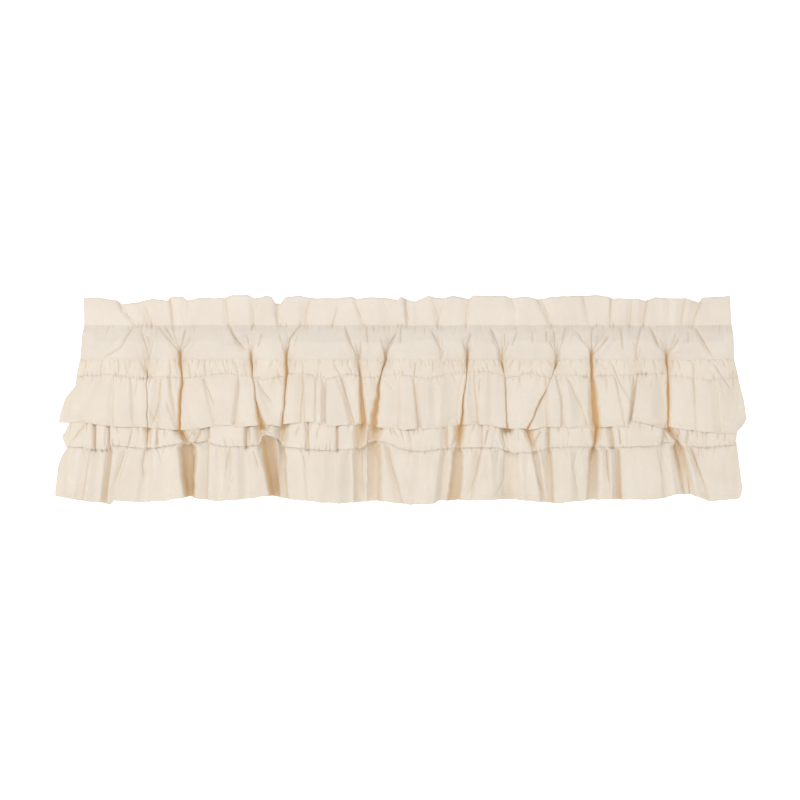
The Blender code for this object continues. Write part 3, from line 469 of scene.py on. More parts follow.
PANEL_FOOT = table(
    Edge,
    (-694, -212), (-684, -224), (-655, -224), (-632, -230), (-600, -231), (-594, -220),
    (-538, -226), (-502, -226), (-464, -215), (-448, -220), (-398, -212), (-372, -223),
    (-324, -223), (-299, -219), (-294, -202), (-284, -200), (-266, -205), (-256, -212),
    (-251, -222), (-203, -228), (-156, -231), (-95, -226), (-66, -211), (-44, -214), (-10, -229),
    (28, -233), (78, -226), (176, -225), (192, -230), (216, -237), (268, -231), (284, -225),
    (344, -223), (424, -224), (498, -222), (506, -215), (528, -215), (540, -211), (560, -222),
    (594, -225), (658, -219),
)
LOWER_HEM = table(
    Edge,
    (-706, -322), (-664, -330), (-585, -339), (-580, -331), (-538, -335), (-484, -331),
    (-444, -324), (-383, -332), (-324, -328), (-284, -322), (-248, -327), (-172, -335),
    (-130, -337), (-58, -332), (4, -339), (52, -337), (60, -332), (106, -331), (204, -329),
    (302, -337), (332, -333), (384, -329), (495, -329), (546, -318), (566, -319), (606, -333),
    (663, -327), (670, -317),
)

# Gathers along a seam: the fine puckers that the gathering thread pulls into the cloth, above
# it (way 1) or below it (way -1). Pitch, reach and deep each go from a least to a most
GATHERS_END = 690.0
GATHERS_CROSS = 1.5
GATHERS_LEAN = 0.35
Gathering = namedtuple("Gathering", "edge way pitch reach deep seed")
GATHERINGS = table(
    Gathering,
    (STITCH_LINE, 1, (7, 18), (8, 30), (0.4, 1.1), 11),
    (STITCH_LINE, -1, (5, 13), (10, 42), (0.4, 1.1), 12),
    (POCKET_FOOT, 1, (8, 24), (5, 20), (0.2, 0.6), 13),
    (POCKET_FOOT, -1, (3, 6), (8, 34), (0.6, 1.7), 14),
    (UPPER_SEAM, 1, (3, 8), (6, 28), (0.6, 1.6), 15),
    (UPPER_SEAM, -1, (4, 11), (8, 60), (0.4, 1.4), 16),
    (UPPER_HEM, -1, (8, 17), (10, 38), (0.8, 2.0), 19),
    (PANEL_FOOT, 1, (6, 17), (6, 34), (0.4, 1.2), 17),
    (PANEL_FOOT, -1, (6, 16), (10, 66), (0.3, 1.2), 18),
)

# The small even gathers on both sides of a seam: how far up and down they reach, and how deep
# they are there
Waves = namedtuple("Waves", "edge up down up_deep down_deep pitch seed")
GATHER_WAVES = table(
    Waves,
    (STITCH_LINE, 9, 22, 0.2, 0.45, 8.0, 31), (POCKET_FOOT, 4, 14, 0.2, 0.7, 7.5, 33),
    (UPPER_SEAM, 13, 11, 0.8, 0.7, 7.5, 33), (PANEL_FOOT, 13, 12, 0.9, 0.7, 9.0, 37),
)

# Fans of fine creases that run up from each pinch at the pocket's foot
PINCH_HALF_WIDTH = 15.0
PINCH_HALF_HEIGHT = 19.0
PINCH_BELOW_FAN = 14.0
MOST_IN_FAN = 8.0
Fan = namedtuple("Fan", "x z high spread count seed")
FANS = table(
    Fan,
    (-520, -46, 20, 22, 5, 41), (-456, -38, 20, 44, 8, 42), (-316, -44, 20, 30, 6, 43),
    (-241, -42, 20, 30, 6, 44), (-96, -46, 16, 26, 5, 45), (-47, -42, 20, 32, 6, 46),
    (66, -46, 16, 24, 4, 47), (118, -44, 20, 26, 6, 48), (192, -46, 20, 28, 6, 49),
    (297, -44, 20, 30, 5, 50), (368, -40, 20, 42, 7, 51), (458, -48, 18, 24, 4, 52),
    (519, -42, 20, 42, 7, 53),
)

# Where the thread pulls a pit into each seam
PIT_HALF_LENGTH = 6.0
PIT_DEEP = 2.6
PIT_WIDE = 1.6
SEAM_PITS = (
    (
        STITCH_LINE,
        (-540, -532, -524, -514, -360, -308, -256, -244, -216, -202, -152, -88, -20, -12, 58, 116)
        + (288, 378, 412, 444, 472),
    ),
    (UPPER_SEAM, (-584, -536, -530, -514, -482, -262, -124, 352, 394, 460, 468, 476, 510)),
    (PANEL_FOOT, (-632, -610, -602, -562)),
)

# Rows of points: heights on the heading band's walls, and shares of the way down all else
BACK_WALL_ROWS = (-50, -42, -22, 0, 12)
HEADING_BACK_ROWS = (1.0, 0.5)
HEADING_FACE_ROWS = (0.08, 0.17, 0.27, 0.38, 0.49, 0.6, 0.7, 0.79, 0.86, 0.92, 0.96, 1.0)
POCKET_FACE_ROWS = (18.4, 16.6, *np.linspace(14.4, -47.6, 26), -49.0, -50.0)
BAND_TOP_ROW = len(BACK_WALL_ROWS) + len(HEADING_BACK_ROWS) + 1
BAND_STITCH_ROW = BAND_TOP_ROW + 1 + len(HEADING_FACE_ROWS)
PUCKER_ROWS = (0.0, 0.025, 0.05, 0.09, 0.16, 0.24, 0.33, 0.42, 0.52, 0.62, 0.72, 0.81, 0.89, 0.95)
PUCKER_ROWS += (1.0,)
COVERED_ROWS = (0.01, 0.06, 0.2, 0.35, 0.5, 0.65, 0.8, 0.9, 0.96, 1.0)
STRIP_ROWS = (0.07, 0.15, 0.23, 0.32, 0.41, 0.5, 0.59, 0.68, 0.76, 0.84, 0.91, 0.96, 1.0)
RUFFLE_ROWS = (0.0, 0.012, 0.03, 0.055, 0.085, 0.12, 0.16, 0.2, 0.25, 0.3, 0.35, 0.4, 0.45, 0.5)
RUFFLE_ROWS += (0.55, 0.6, 0.65, 0.7, 0.75, 0.8, 0.85, 0.89, 0.905, 0.92, 0.95, 0.98, 1.0)


def smooth(share):
    """Nought to one with no slope at either end."""
    share = np.clip(share, 0.0, 1.0)
    return share * share * (3.0 - 2.0 * share)


def between(top, foot, share):
    """A value at a share of the way from the one at the top to the one at the foot."""
    return top + (foot - top) * share


def run_of(steps):
    """How far along each point lies, from nought, by the steps between the points."""
    return np.concatenate([[0.0], np.cumsum(steps)])


def hollow(distance, wide, corners=2.0):
    """A fold's cross-section: one in the middle and nought at twice its half width."""
    share = np.clip(np.abs(distance) / (2.0 * wide), 0.0, 1.0)
    return (1.0 - share**corners) ** 2


def groove(distance, wide, deep):
    """The dent that a line of stitches pulls into the cloth."""
    return deep * np.exp(-((distance / wide) ** 2))


def at_level(values, z):
    """One valley's value at a height, read between the levels."""
    return np.interp(-z, [-level for level in LEVELS], values)


def wander(x, z, pace, seed):
    """A gentle uneven rise and fall of the cloth, between about -1 and 1."""
    random = np.random.default_rng(seed)
    total = 0.0 * x
    for _ in range(WANDER_WAVES):
        turn = random.uniform(0.0, np.pi)
        length = pace * random.uniform(0.5, 1.6)
        phase = random.uniform(0.0, 2.0 * np.pi)
        along = x * np.cos(turn) + WANDER_UPRIGHT * z * np.sin(turn)
        total += np.sin(2.0 * np.pi * along / length + phase)
    return total / (0.5 * WANDER_WAVES)


def uneven(x, z, kind):
    """How far back one kind of unevenness puts the cloth."""
    return kind.deep * wander(x, z, kind.pace, kind.seed)


def edge_height(edge, x):
    """The height of an edge or a seam at a place along the width, with its small ripples."""
    height = np.interp(x, [row.x for row in edge], [row.z for row in edge])
    if len(edge) == 2:
        return height
    pace = SEAM_RIPPLE_PACE if edge in (UPPER_SEAM, PANEL_FOOT) else HEM_RIPPLE_PACE
    return height + EDGE_RIPPLE * wander(np.asarray(x, dtype=float), 0.0, pace, len(edge))


def side_places(sides, z):
    """Where the left and the right side edges of a piece are at a height."""
    heights = [-row.z for row in sides]
    left = np.interp(-z, heights, [row.left for row in sides])
    right = np.interp(-z, heights, [row.right for row in sides])
    return left, right


def valley_middle(valley, z):
    """Where a valley runs at a height, with the small wander of hanging cloth."""
    strays = wander(np.asarray(z, dtype=float), 0.0, VALLEY_PACE, abs(valley.x[0]))
    return at_level(valley.x, z) + VALLEY_WANDERS * strays


def carrier(x, z, wider=1.0, filled=NOT_FILLED):
    """How far back the hanging cloth lies: the valleys and, between them, the crowned lobes."""
    back = np.zeros_like(x)
    middles = [valley_middle(valley, z) for valley in VALLEYS]
    for valley, middle, full in zip(VALLEYS, middles, filled):
        wide = wider * at_level(valley.wide, z)
        shape = hollow(x - middle, wide, at_level(VALLEY_CORNERS, z))
        back = np.maximum(back, (1.0 - full) * at_level(valley.deep, z) * shape)
    left, right = side_places(PANEL_SIDES, z)
    bounds = np.array([left, *middles, right])
    lobe = np.clip(np.searchsorted(bounds, x) - 1, 0, len(bounds) - 2)
    width = bounds[lobe + 1] - bounds[lobe]
    share = np.clip((x - bounds[lobe]) / width, 0.0, 1.0)
    crown = np.minimum(LOBE_CROWN_MOST, LOBE_CROWN * width) * np.sin(np.pi * share)
    return back - crown


def leaning(distance, wide, edge):
    """Widths on the two sides of a fold: narrow on its steep side, broad on the other."""
    steep = wide * (1.0 - STEEP_NARROWS * abs(edge))
    slope = wide * (1.0 + SLOPE_WIDENS * abs(edge))
    return np.where(distance * edge > 0, steep, slope)


def folds_at(folds, x, share):
    """The depth of a piece's own folds at a share of the way from its top to its foot."""
    back = np.zeros_like(x)
    for fold in folds:
        distance = x - between(fold.top_x, fold.foot_x, share)
        deep = between(fold.top_deep, fold.foot_deep, share)
        wide = between(fold.top_wide, fold.foot_wide, share)
        back = np.maximum(back, deep * hollow(distance, leaning(distance, wide, fold.edge)))
    return back


def creases_at(x, z):
    """How far back the creases, rucks and small gathers lie, less the ridges."""
    back, ridge = np.zeros_like(x), np.zeros_like(x)
    for crease in CREASES:
        near = (z < crease.z[0]) & (z > crease.z[-1])
        near &= (x > min(crease.x) - CREASE_REACH) & (x < max(crease.x) + CREASE_REACH)
        if not near.any():
            continue
        near_x, near_z = x[near], z[near]
        distance = near_x - np.interp(-near_z, [-height for height in crease.z], crease.x)
        drop = crease.z[0] - crease.z[-1]
        along = (crease.z[0] - near_z) / drop
        fade = smooth(along / crease.fade[0]) * smooth((1.0 - along) / crease.fade[1])
        slant = np.hypot(1.0, (crease.x[0] - crease.x[-1]) / drop)
        wide = leaning(distance, CREASE_SHARPER * slant * crease.wide, crease.edge)
        dip = (1.0 - np.clip(np.abs(distance) / (2.0 * wide), 0.0, 1.0)) ** 2
        rise = CREASE_DEEPER * abs(crease.deep) * fade * dip
        target = back if crease.deep > 0 else ridge
        target[near] = np.maximum(target[near], rise)
        beside = hollow(distance - (crease.edge or 1) * 2.4 * crease.wide, 1.1 * crease.wide)
        crest = CREASE_RIDGE * max(crease.deep, 0.0) * fade * beside
        ridge[near] = np.maximum(ridge[near], crest)
    return back - ridge + rucks_at(x, z) + waves_at(x, z)


def gathered(gathering):
    """The creases of one line of gathers."""
    random = np.random.default_rng(gathering.seed)
    rows = []
    place = -GATHERS_END
    least, most = gathering.pitch
    while place < GATHERS_END:
        place += least + random.exponential(most - least)
        reach = between(*gathering.reach, random.uniform() ** 2)
        lean = random.uniform(-GATHERS_LEAN, GATHERS_LEAN) * reach
        deep = GATHER_DEEPER * random.uniform(*gathering.deep)
        wide = random.uniform(1.5, 3.0)
        edge = int(random.integers(-1, 2))
        seam = float(edge_height(gathering.edge, place))
        if gathering.way > 0:
            x, z = (place + lean, place), (seam + reach, seam - GATHERS_CROSS)
            fade = (0.9, 0.05)
        else:
            x, z = (place, place + lean), (seam + GATHERS_CROSS, seam - reach)
            fade = (0.05, 0.9)
        rows.append(Crease(x, z, deep, wide, edge, fade))
    return rows


def waves_at(x, z):
    """The depth of the small gathers: rounded ridges with a sharp line between each two."""
    back = np.zeros_like(x)
    for waves in GATHER_WAVES:
        above = z - edge_height(waves.edge, x)
        turn = np.pi * x / waves.pitch + 2.2 * wander(x, 0.6 * z, 48.0, waves.seed)
        strength = 0.25 + 0.75 * smooth(0.5 + 0.8 * wander(x, 0.0, 80.0, waves.seed + 1))
        reach = np.where(above > 0, waves.up, waves.down)
        deep = np.where(above > 0, waves.up_deep, waves.down_deep)
        back += deep * strength * (1.0 - np.abs(np.cos(turn))) * np.exp(-np.abs(above) / reach)
    return back


def bunched(x, z):
    """How tightly the cloth is drawn together round each pinch."""
    tight = np.zeros_like(x)
    for fan in FANS:
        across_it = (x - fan.x) / PINCH_HALF_WIDTH
        down_it = (z - fan.z + PINCH_BELOW_FAN) / PINCH_HALF_HEIGHT
        tight = np.maximum(tight, fan.count / MOST_IN_FAN * np.exp(-(across_it**2 + down_it**2)))
    return tight


def fanned(fan):
    """The creases of one fan, from its pinch up to uneven places under the stitching."""
    random = np.random.default_rng(fan.seed)
    rows = []
    for number in range(fan.count):
        share = (number + random.uniform(0.1, 0.9)) / fan.count
        top = between(fan.z, fan.high, random.uniform(0.45, 1.0))
        away = fan.spread * (2.0 * share - 1.0) * (top - fan.z) / (fan.high - fan.z)
        deep = random.uniform(0.9, 2.4)
        bend = random.uniform(0.35, 0.65)
        x = (fan.x + away, fan.x + bend * away + random.uniform(-2.0, 2.0), fan.x + 0.1 * away)
        z = (top, 0.5 * (top + fan.z), fan.z - 6.0)
        wide = random.uniform(2.4, 4.0)
        rows.append(Crease(x, z, deep, wide, int(np.sign(away)), (0.6, 0.08)))
    return rows


def rucks_at(x, z):
    """The depth of the rucks that run across, which fade at their two ends."""
    back = np.zeros_like(x)
    for ruck in RUCKS:
        fade = smooth((x - ruck.x[0]) / RUCK_ENDS) * smooth((ruck.x[-1] - x) / RUCK_ENDS)
        height = np.interp(x, ruck.x, ruck.z)
        back = back + ruck.deep * fade * np.exp(-(((z - height) / ruck.wide) ** 2))
    return back


def pits(edge, places):
    """Short deep dents across a seam."""
    rows = []
    for place in places:
        seam = float(edge_height(edge, place))
        z = (seam + PIT_HALF_LENGTH, seam - PIT_HALF_LENGTH)
        rows.append(Crease((place, place), z, PIT_DEEP, PIT_WIDE, 0, (0.5, 0.5)))
    return rows


def pitted(x, z):
    """Where the thread draws the cloth into pits, which get painted shade."""
    drawn = np.zeros_like(x)
    for edge, places in SEAM_PITS:
        for place in places:
            above = z - float(edge_height(edge, place))
            near = np.exp(-(((x - place) / 2.2) ** 2) - (above / 4.0) ** 2)
            drawn = np.maximum(drawn, near)
    return drawn


CREASES = [*HEADING_CREASES, *POCKET_CREASES, *STRIP_CREASES, *RUFFLE_CREASES, *FOOT_CREASES]
CREASES += [row for gathering in GATHERINGS for row in gathered(gathering)]
CREASES += [row for fan in FANS for row in fanned(fan)]
CREASES += [row for edge, places in SEAM_PITS for row in pits(edge, places)]


def lapped(folds, x, share):
    """Slides the lip of the cloth beside a fold over it, so that the fold closes as cloth does."""
    shift = np.zeros_like(x)
    for fold in folds:
        if not fold.lap:
            continue
        middle = between(fold.top_x, fold.foot_x, share)
        wide = between(fold.top_wide, fold.foot_wide, share)
        beside = (x - middle) * np.sign(fold.lap)
        rise = smooth(beside / (LAP_RISE * wide))
        fade = 1.0 - smooth((beside - LAP_LEVEL * wide) / (LAP_FADE * wide))
        shift -= fold.lap * share * rise * fade
    return shift


def mouths_between(top, foot, share):
    """Each valley's mouth at a share of the way down a piece."""
    return [between(getattr(row, top), getattr(row, foot), share) for row in MOUTHS]


def upper_mouths(share):
    """Each valley's mouth at a share of the way down the upper ruffle, with its waist."""
    stops = (0.0, UPPER_WAIST, 1.0)
    return [
        np.interp(share, stops, (row.upper_top, row.upper_waist, row.upper_foot))
        for row in MOUTHS
    ]


def closed_in(x, z, mouths):
    """Leans each valley's walls towards each other, until its lips are its mouth apart."""
    shift = np.zeros_like(x)
    for valley, mouth in zip(VALLEYS, mouths):
        lip = VALLEY_LIP * at_level(valley.wide, z)
        push = max(0.0, lip - mouth) * smooth(at_level(valley.deep, z) / 8.0)
        distance = x - valley_middle(valley, z)
        reach = np.abs(distance)
        beyond = 1.0 - smooth((reach - lip) / (4.0 * push + 1.0))
        shift -= np.sign(distance) * push * np.where(reach < lip, (reach / lip) ** 1.5, beyond)
    return shift


def across(column, sides, z):
    """Where columns are at a height: between the side edges they follow the valleys."""
    left, right = side_places(sides, z)
    stops = [left, *[valley_middle(valley, z) for valley in VALLEYS], right]
    return np.interp(column, np.arange(len(stops)), stops)


def columns(sides, levels, count):
    """Places across the cloth, as shares of the stretches between valleys, closer on walls."""
    even = np.linspace(0.0, len(VALLEYS) + 1.0, 9000)
    travel = np.zeros(len(even) - 1)
    for z in levels:
        x = across(even, sides, z)
        travel += np.hypot(np.diff(x), 0.8 * np.diff(carrier(x, z)))
    length = run_of(travel)
    return np.interp(np.linspace(0.0, length[-1], count), length, even)


def wall_half_depth(z):
    """How far a pocket wall lies from the rod's axis: round the rod, straight to the seams."""
    above = WALL_RADIUS**2 / STITCH_Z
    below = WALL_RADIUS**2 / POCKET_FOOT_Z
    if z >= above:
        start = np.sqrt(WALL_RADIUS**2 - above**2)
        return start + (HEADING_HALF_GAP - start) * (z - above) / (STITCH_Z - above)
    if z <= below:
        start = np.sqrt(WALL_RADIUS**2 - below**2)
        return start + (LAYER_STEP - start) * (below - z) / (below - POCKET_FOOT_Z)
    return np.sqrt(WALL_RADIUS**2 - z**2)


def heading_middle(x, z, share):
    """How far back the doubled heading lies, from its top edge down to the stitching."""
    wave = HEADING_WAVE * np.sin(x / HEADING_WAVE_PACE) * (1.0 - share)
    relief = HEADING_SOFTER * folds_at(HEADING_FOLDS, x, share)
    relief = relief + HEADING_CREASED * creases_at(x, z)
    return wave - HEADING_LEAN + relief + uneven(x, z, HEADING_UNEVEN)


def pocket_wall(x, z, side):
    """A pocket wall: -1 is the front one, with its folds, and 1 the back one."""
    down = (STITCH_Z - z) / (STITCH_Z - POCKET_FOOT_Z)
    height = np.full_like(x, z)
    at_stitch = heading_middle(x, np.full_like(x, STITCH_Z), 1.0)
    held = at_stitch * (1.0 - smooth((STITCH_Z - z) / STITCH_HOLDS))
    hang = carrier(x, POCKET_FOOT_Z) * smooth((down - HANG_STARTS) / HANG_GROWS_OVER)
    wall = side * wall_half_depth(z)
    creases = creases_at(x, height)
    if side > 0:
        at_foot = smooth((POCKET_FOOT_Z + 14.0 - z) / 10.0)
        return held + hang + wall + BACK_CREASED * creases * at_foot
    wall = POCKET_FLATTER * wall - POCKET_BULGE * smooth((-16.0 - z) / 28.0)
    fullness = np.sin(np.pi * np.clip(down, 0.0, 1.0) ** 0.8) ** POCKET_FULLNESS
    deepest = 1.0 + max(fold.foot_deep for fold in POCKET_FOLDS)
    relief = POCKET_RELIEF * fullness * (deepest - folds_at(POCKET_FOLDS, x, down))
    creases = creases * smooth((STITCH_Z - z) / 5.0)
    return held + hang + wall - relief + creases + uneven(x, height, POCKET_UNEVEN)


def band_grid():
    """The heading band: up the back wall, over the heading's top and down the front."""
    column = columns(BAND_SIDES, (RUFFLE_SEAM_Z,), BAND_COLUMNS)
    top_x, stitch_x, foot_x = (
        across(column, BAND_SIDES, z) for z in (HEADING_TOP_Z, STITCH_Z, POCKET_FOOT_Z)
    )
    top_z = edge_height(HEADING_EDGE, top_x)
    lips = [POCKET_MOUTH] * len(VALLEYS)
    rows = []

    def add_wall(z, side):
        share = (STITCH_Z - z) / (STITCH_Z - POCKET_FOOT_Z)
        x = between(stitch_x, foot_x, share)
        y = pocket_wall(x, z, side)
        if side < 0:
            y = y + groove(z - POCKET_FOOT_Z - POCKET_STITCH_UP, STITCH_DENT, 0.15)
            hangs = smooth((share - HANG_STARTS) / HANG_GROWS_OVER)
            x = x + closed_in(x, POCKET_FOOT_Z, lips) * hangs
        rows.append(np.column_stack([x, y, np.full_like(x, z)]))

    def add_heading(share, side, below_top=0.0):
        x = between(top_x, stitch_x, share)
        z = between(top_z, STITCH_Z, share) - below_top
        y = heading_middle(x, z, share) + side * HEADING_HALF_GAP
        if side:
            y = y - side * groove(z - STITCH_Z, STITCH_DENT, 0.2)
        rows.append(np.column_stack([x, y, z]))

    for z in BACK_WALL_ROWS:
        add_wall(float(z), 1)
    for share in HEADING_BACK_ROWS:
        add_heading(share, 1)
    add_heading(0.0, 1, HEADING_TURN)
    add_heading(0.0, 0)
    add_heading(0.0, -1, HEADING_TURN)
    for share in HEADING_FACE_ROWS:
        add_heading(share, -1)
    for z in POCKET_FACE_ROWS:
        add_wall(float(z), -1)
    return np.array(rows)


def panel_back(x, z, height):
    """How far back the panel lies, with the folds of its strip that shows under the ruffle."""
    below_seam = smooth((RUFFLE_SEAM_Z - z) / 20.0)
    above_foot = smooth((z - PANEL_FOOT_Z) / 30.0)
    wider = 1.0 + (PANEL_VALLEY_WIDER - 1.0) * below_seam * above_foot
    down = smooth((RUFFLE_SEAM_Z - z) / (RUFFLE_SEAM_Z - RUFFLE_HEM_Z))
    strip = folds_at(STRIP_FOLDS, x, 1.0) * down
    below_hem = edge_height(UPPER_HEM, x) - height
    puff = STRIP_PUFF * smooth((below_hem + STRIP_PUFF_STARTS) / STRIP_PUFF_OVER)
    filled = [share * smooth(below_hem / 13.0) for share in STRIP_FILLS]
    hung = carrier(x, z, wider, filled)
    creases = creases_at(x, height) * (1.0 + STRIP_CRISPER * smooth(below_hem / 6.0))
    return hung - puff + strip + creases + uneven(x, height, STRIP_UNEVEN)


def panel_rows_at(column):
    """The panel's rows: each one's level, its places and its heights."""
    stretches = (
        (PANEL_TOP_Z, RUFFLE_SEAM_Z, PANEL_TOP, UPPER_SEAM, PUCKER_ROWS),
        (RUFFLE_SEAM_Z, RUFFLE_HEM_Z, UPPER_SEAM, UPPER_HEM, COVERED_ROWS),
        (RUFFLE_HEM_Z, PANEL_FOOT_Z, UPPER_HEM, PANEL_FOOT, STRIP_ROWS),
    )
    rows = []
    for top_z, foot_z, top_edge, foot_edge, shares in stretches:
        for share in shares:
            z = between(top_z, foot_z, share)
            x = across(column, PANEL_SIDES, z)
            height = between(edge_height(top_edge, x), edge_height(foot_edge, x), share)
            rows.append((z, x, height))
    return rows


def panel_grid():
    """The panel, from the pocket's foot down to the lower seam."""
    column = columns(PANEL_SIDES, (RUFFLE_SEAM_Z, RUFFLE_HEM_Z, PANEL_FOOT_Z), PANEL_COLUMNS)
    rows = []
    for z, x, height in panel_rows_at(column):
        over_seam = height - edge_height(UPPER_SEAM, x)
        pucker = smooth(POCKET_FOOT_Z + 1.9 - height) * smooth(over_seam + 1.0)
        y = panel_back(x, z, height)
        y = y - PUCKER_STANDS_OUT * pucker * (0.62 + 0.38 * smooth(over_seam / 4.0))
        y = y + groove(over_seam, 1.0, 0.2)

        # The foot lies over the lower ruffle's seam, and farther out where the valleys are
        share = np.clip((RUFFLE_HEM_Z - z) / (RUFFLE_HEM_Z - PANEL_FOOT_Z), 0.0, 1.0)
        lip = FOOT_LIP + FOOT_LIP_IN_VALLEY * np.maximum(carrier(x, z), 0.0)
        y = y - lip * smooth((share - 0.35) / 0.65) * smooth((RUFFLE_HEM_Z - 16.0 - z) / 20.0)

        # The valleys' mouths go from the pocket's to the ruffle's, and again where the strip shows
        visible = smooth((RUFFLE_HEM_Z + 40.0 - z) / 30.0)
        behind = smooth((RUFFLE_SEAM_Z - z) / 20.0)
        above = smooth((z - RUFFLE_SEAM_Z) / 30.0)
        lips = [between(mouth, POCKET_MOUTH, above) for mouth in upper_mouths(0.0)]
        shift = closed_in(x, z, mouths_between("strip_top", "strip_foot", share)) * visible
        shift = shift + closed_in(x, z, lips) * (1.0 - behind)
        shift = shift + lapped(STRIP_FOLDS, x, 1.0) * visible
        rows.append(np.column_stack([x + shift, y, height]))
    return np.array(rows)


def hemmed(y, hem, height):
    """Adds a foot hem: a dent along its stitches and a fuller cloth below them."""
    y = y + groove(height - hem - FOOT_HEM, STITCH_DENT, 0.2)
    return y - 0.2 * smooth((hem + FOOT_HEM - height) / HEM_BEGINS)


def upper_grid():
    """The upper ruffle, from its gathered top on the panel's face down to its hem."""
    column = columns(UPPER_SIDES, (RUFFLE_SEAM_Z, RUFFLE_HEM_Z), RUFFLE_COLUMNS)
    rows = []
    for share in RUFFLE_ROWS:
        z = between(RUFFLE_SEAM_Z, RUFFLE_HEM_Z, share)
        x = across(column, UPPER_SIDES, z)
        hem = edge_height(UPPER_HEM, x)
        height = between(edge_height(UPPER_SEAM, x), hem, share)
        out = 1.0 + UPPER_LIFT * smooth(share / 0.04)
        out = out + UPPER_STANDS_OUT * (1.0 - (1.0 - share) ** 3)
        own = np.minimum(folds_at(UPPER_FOLDS, x, share), out - 1.0)
        y = carrier(x, z) - out + own + creases_at(x, height)
        y = y + share * uneven(x, height, UPPER_UNEVEN)
        y = y + smooth(share / 0.1) * uneven(x, height, UPPER_RUMPLED)
        y = hemmed(y, hem, height)

        # The hem turns in until it rests on the strip below
        y = y + HEM_TURNS_IN * smooth((hem + HEM_TURNS_OVER - height) / HEM_TURNS_OVER)
        rest = panel_back(x, z, height) - HEM_CLEARS
        y = y - smooth((share - 0.8) / 0.12) * np.maximum(y - rest, 0.0)
        shift = closed_in(x, z, upper_mouths(share)) + lapped(UPPER_FOLDS, x, share)
        rows.append(np.column_stack([x + shift, y, height]))
    return np.array(rows)


def lower_grid():
    """The lower ruffle, from behind the panel's foot down to its hem."""
    column = columns(LOWER_SIDES, (PANEL_FOOT_Z, VALANCE_FOOT_Z), RUFFLE_COLUMNS)
    strip_mouths = mouths_between("strip_top", "strip_foot", 1.0)
    x = across(column, LOWER_SIDES, PANEL_FOOT_Z)
    foot = edge_height(PANEL_FOOT, x)
    shift = closed_in(x, PANEL_FOOT_Z, strip_mouths) + lapped(STRIP_FOLDS, x, 1.0)
    rows = []
    for tuck in (LOWER_TUCK, 0.5 * LOWER_TUCK):
        y = panel_back(x, PANEL_FOOT_Z, foot + tuck) + LAYER_STEP
        rows.append(np.column_stack([x + shift, y, foot + tuck]))
    for share in RUFFLE_ROWS:
        z = between(PANEL_FOOT_Z, VALANCE_FOOT_Z, share)
        x = across(column, LOWER_SIDES, z)
        hem = edge_height(LOWER_HEM, x)
        height = between(edge_height(PANEL_FOOT, x), hem, share)

        # At its top the ruffle has the strip's folds and mouths, and a little below it its own
        joined = 1.0 - smooth(share / LOWER_JOINS_OVER)
        strip = folds_at(STRIP_FOLDS, x, 1.0) * joined
        own = folds_at(LOWER_FOLDS, x, share) * (1.0 - joined)
        out = between(STRIP_PUFF, LOWER_STANDS_OUT, 1.0 - (1.0 - share) ** 2)
        y = carrier(x, z) - (out - LAYER_STEP * joined) + strip + own + creases_at(x, height)
        y = y + share * uneven(x, height, LOWER_UNEVEN)
        y = y + smooth(share / 0.1) * uneven(x, height, LOWER_RUMPLED)
        y = hemmed(y, hem, height)
        shift = closed_in(x, z, mouths_between("lower_top", "lower_foot", share))
        shift = shift * (1.0 - joined) + closed_in(x, z, strip_mouths) * joined
        shift = shift + lapped(LOWER_FOLDS, x, share) * (1.0 - joined)
        shift = shift + lapped(STRIP_FOLDS, x, 1.0) * joined
        rows.append(np.column_stack([x + shift, y, height]))
    return np.array(rows)


def linear(colour):
    """An sRGB hex colour as linear red, green, blue and alpha."""
    parts = [int(colour[start : start + 2], 16) / 255.0 for start in (1, 3, 5)]
    light = [part / 12.92 if part <= 0.04045 else ((part + 0.055) / 1.055) ** 2.4 for part in parts]
    return (*light, 1.0)


def add_node(tree, kind, settings=None, **inputs):
    """Adds a node with its settings, and sets or links its inputs by name or number."""
    node = tree.nodes.new(kind)
    for name, value in (settings or {}).items():
        setattr(node, name, value)
    for name, value in inputs.items():
        numbered = name[0] == "i" and name[1:].isdigit()
        socket = node.inputs[int(name[1:]) if numbered else name.replace("_", " ")]
        if isinstance(value, bpy.types.NodeSocket):
            tree.links.new(value, socket)
        else:
            socket.default_value = value
    return node


def new_material(name, **values):
    """A material with its node tree and its shader, which gets some plain values."""
    material = bpy.data.materials.new(name)
    material.use_nodes = True
    tree = material.node_tree
    shader = tree.nodes["Principled BSDF"]
    for label, value in values.items():
        shader.inputs[label.replace("_", " ")].default_value = value
    return material, tree, shader


def colour_ramp(ramp, colours):
    """Gives a colour ramp its two colours."""
    for element, colour in zip(ramp.color_ramp.elements, colours):
        element.color = linear(colour)


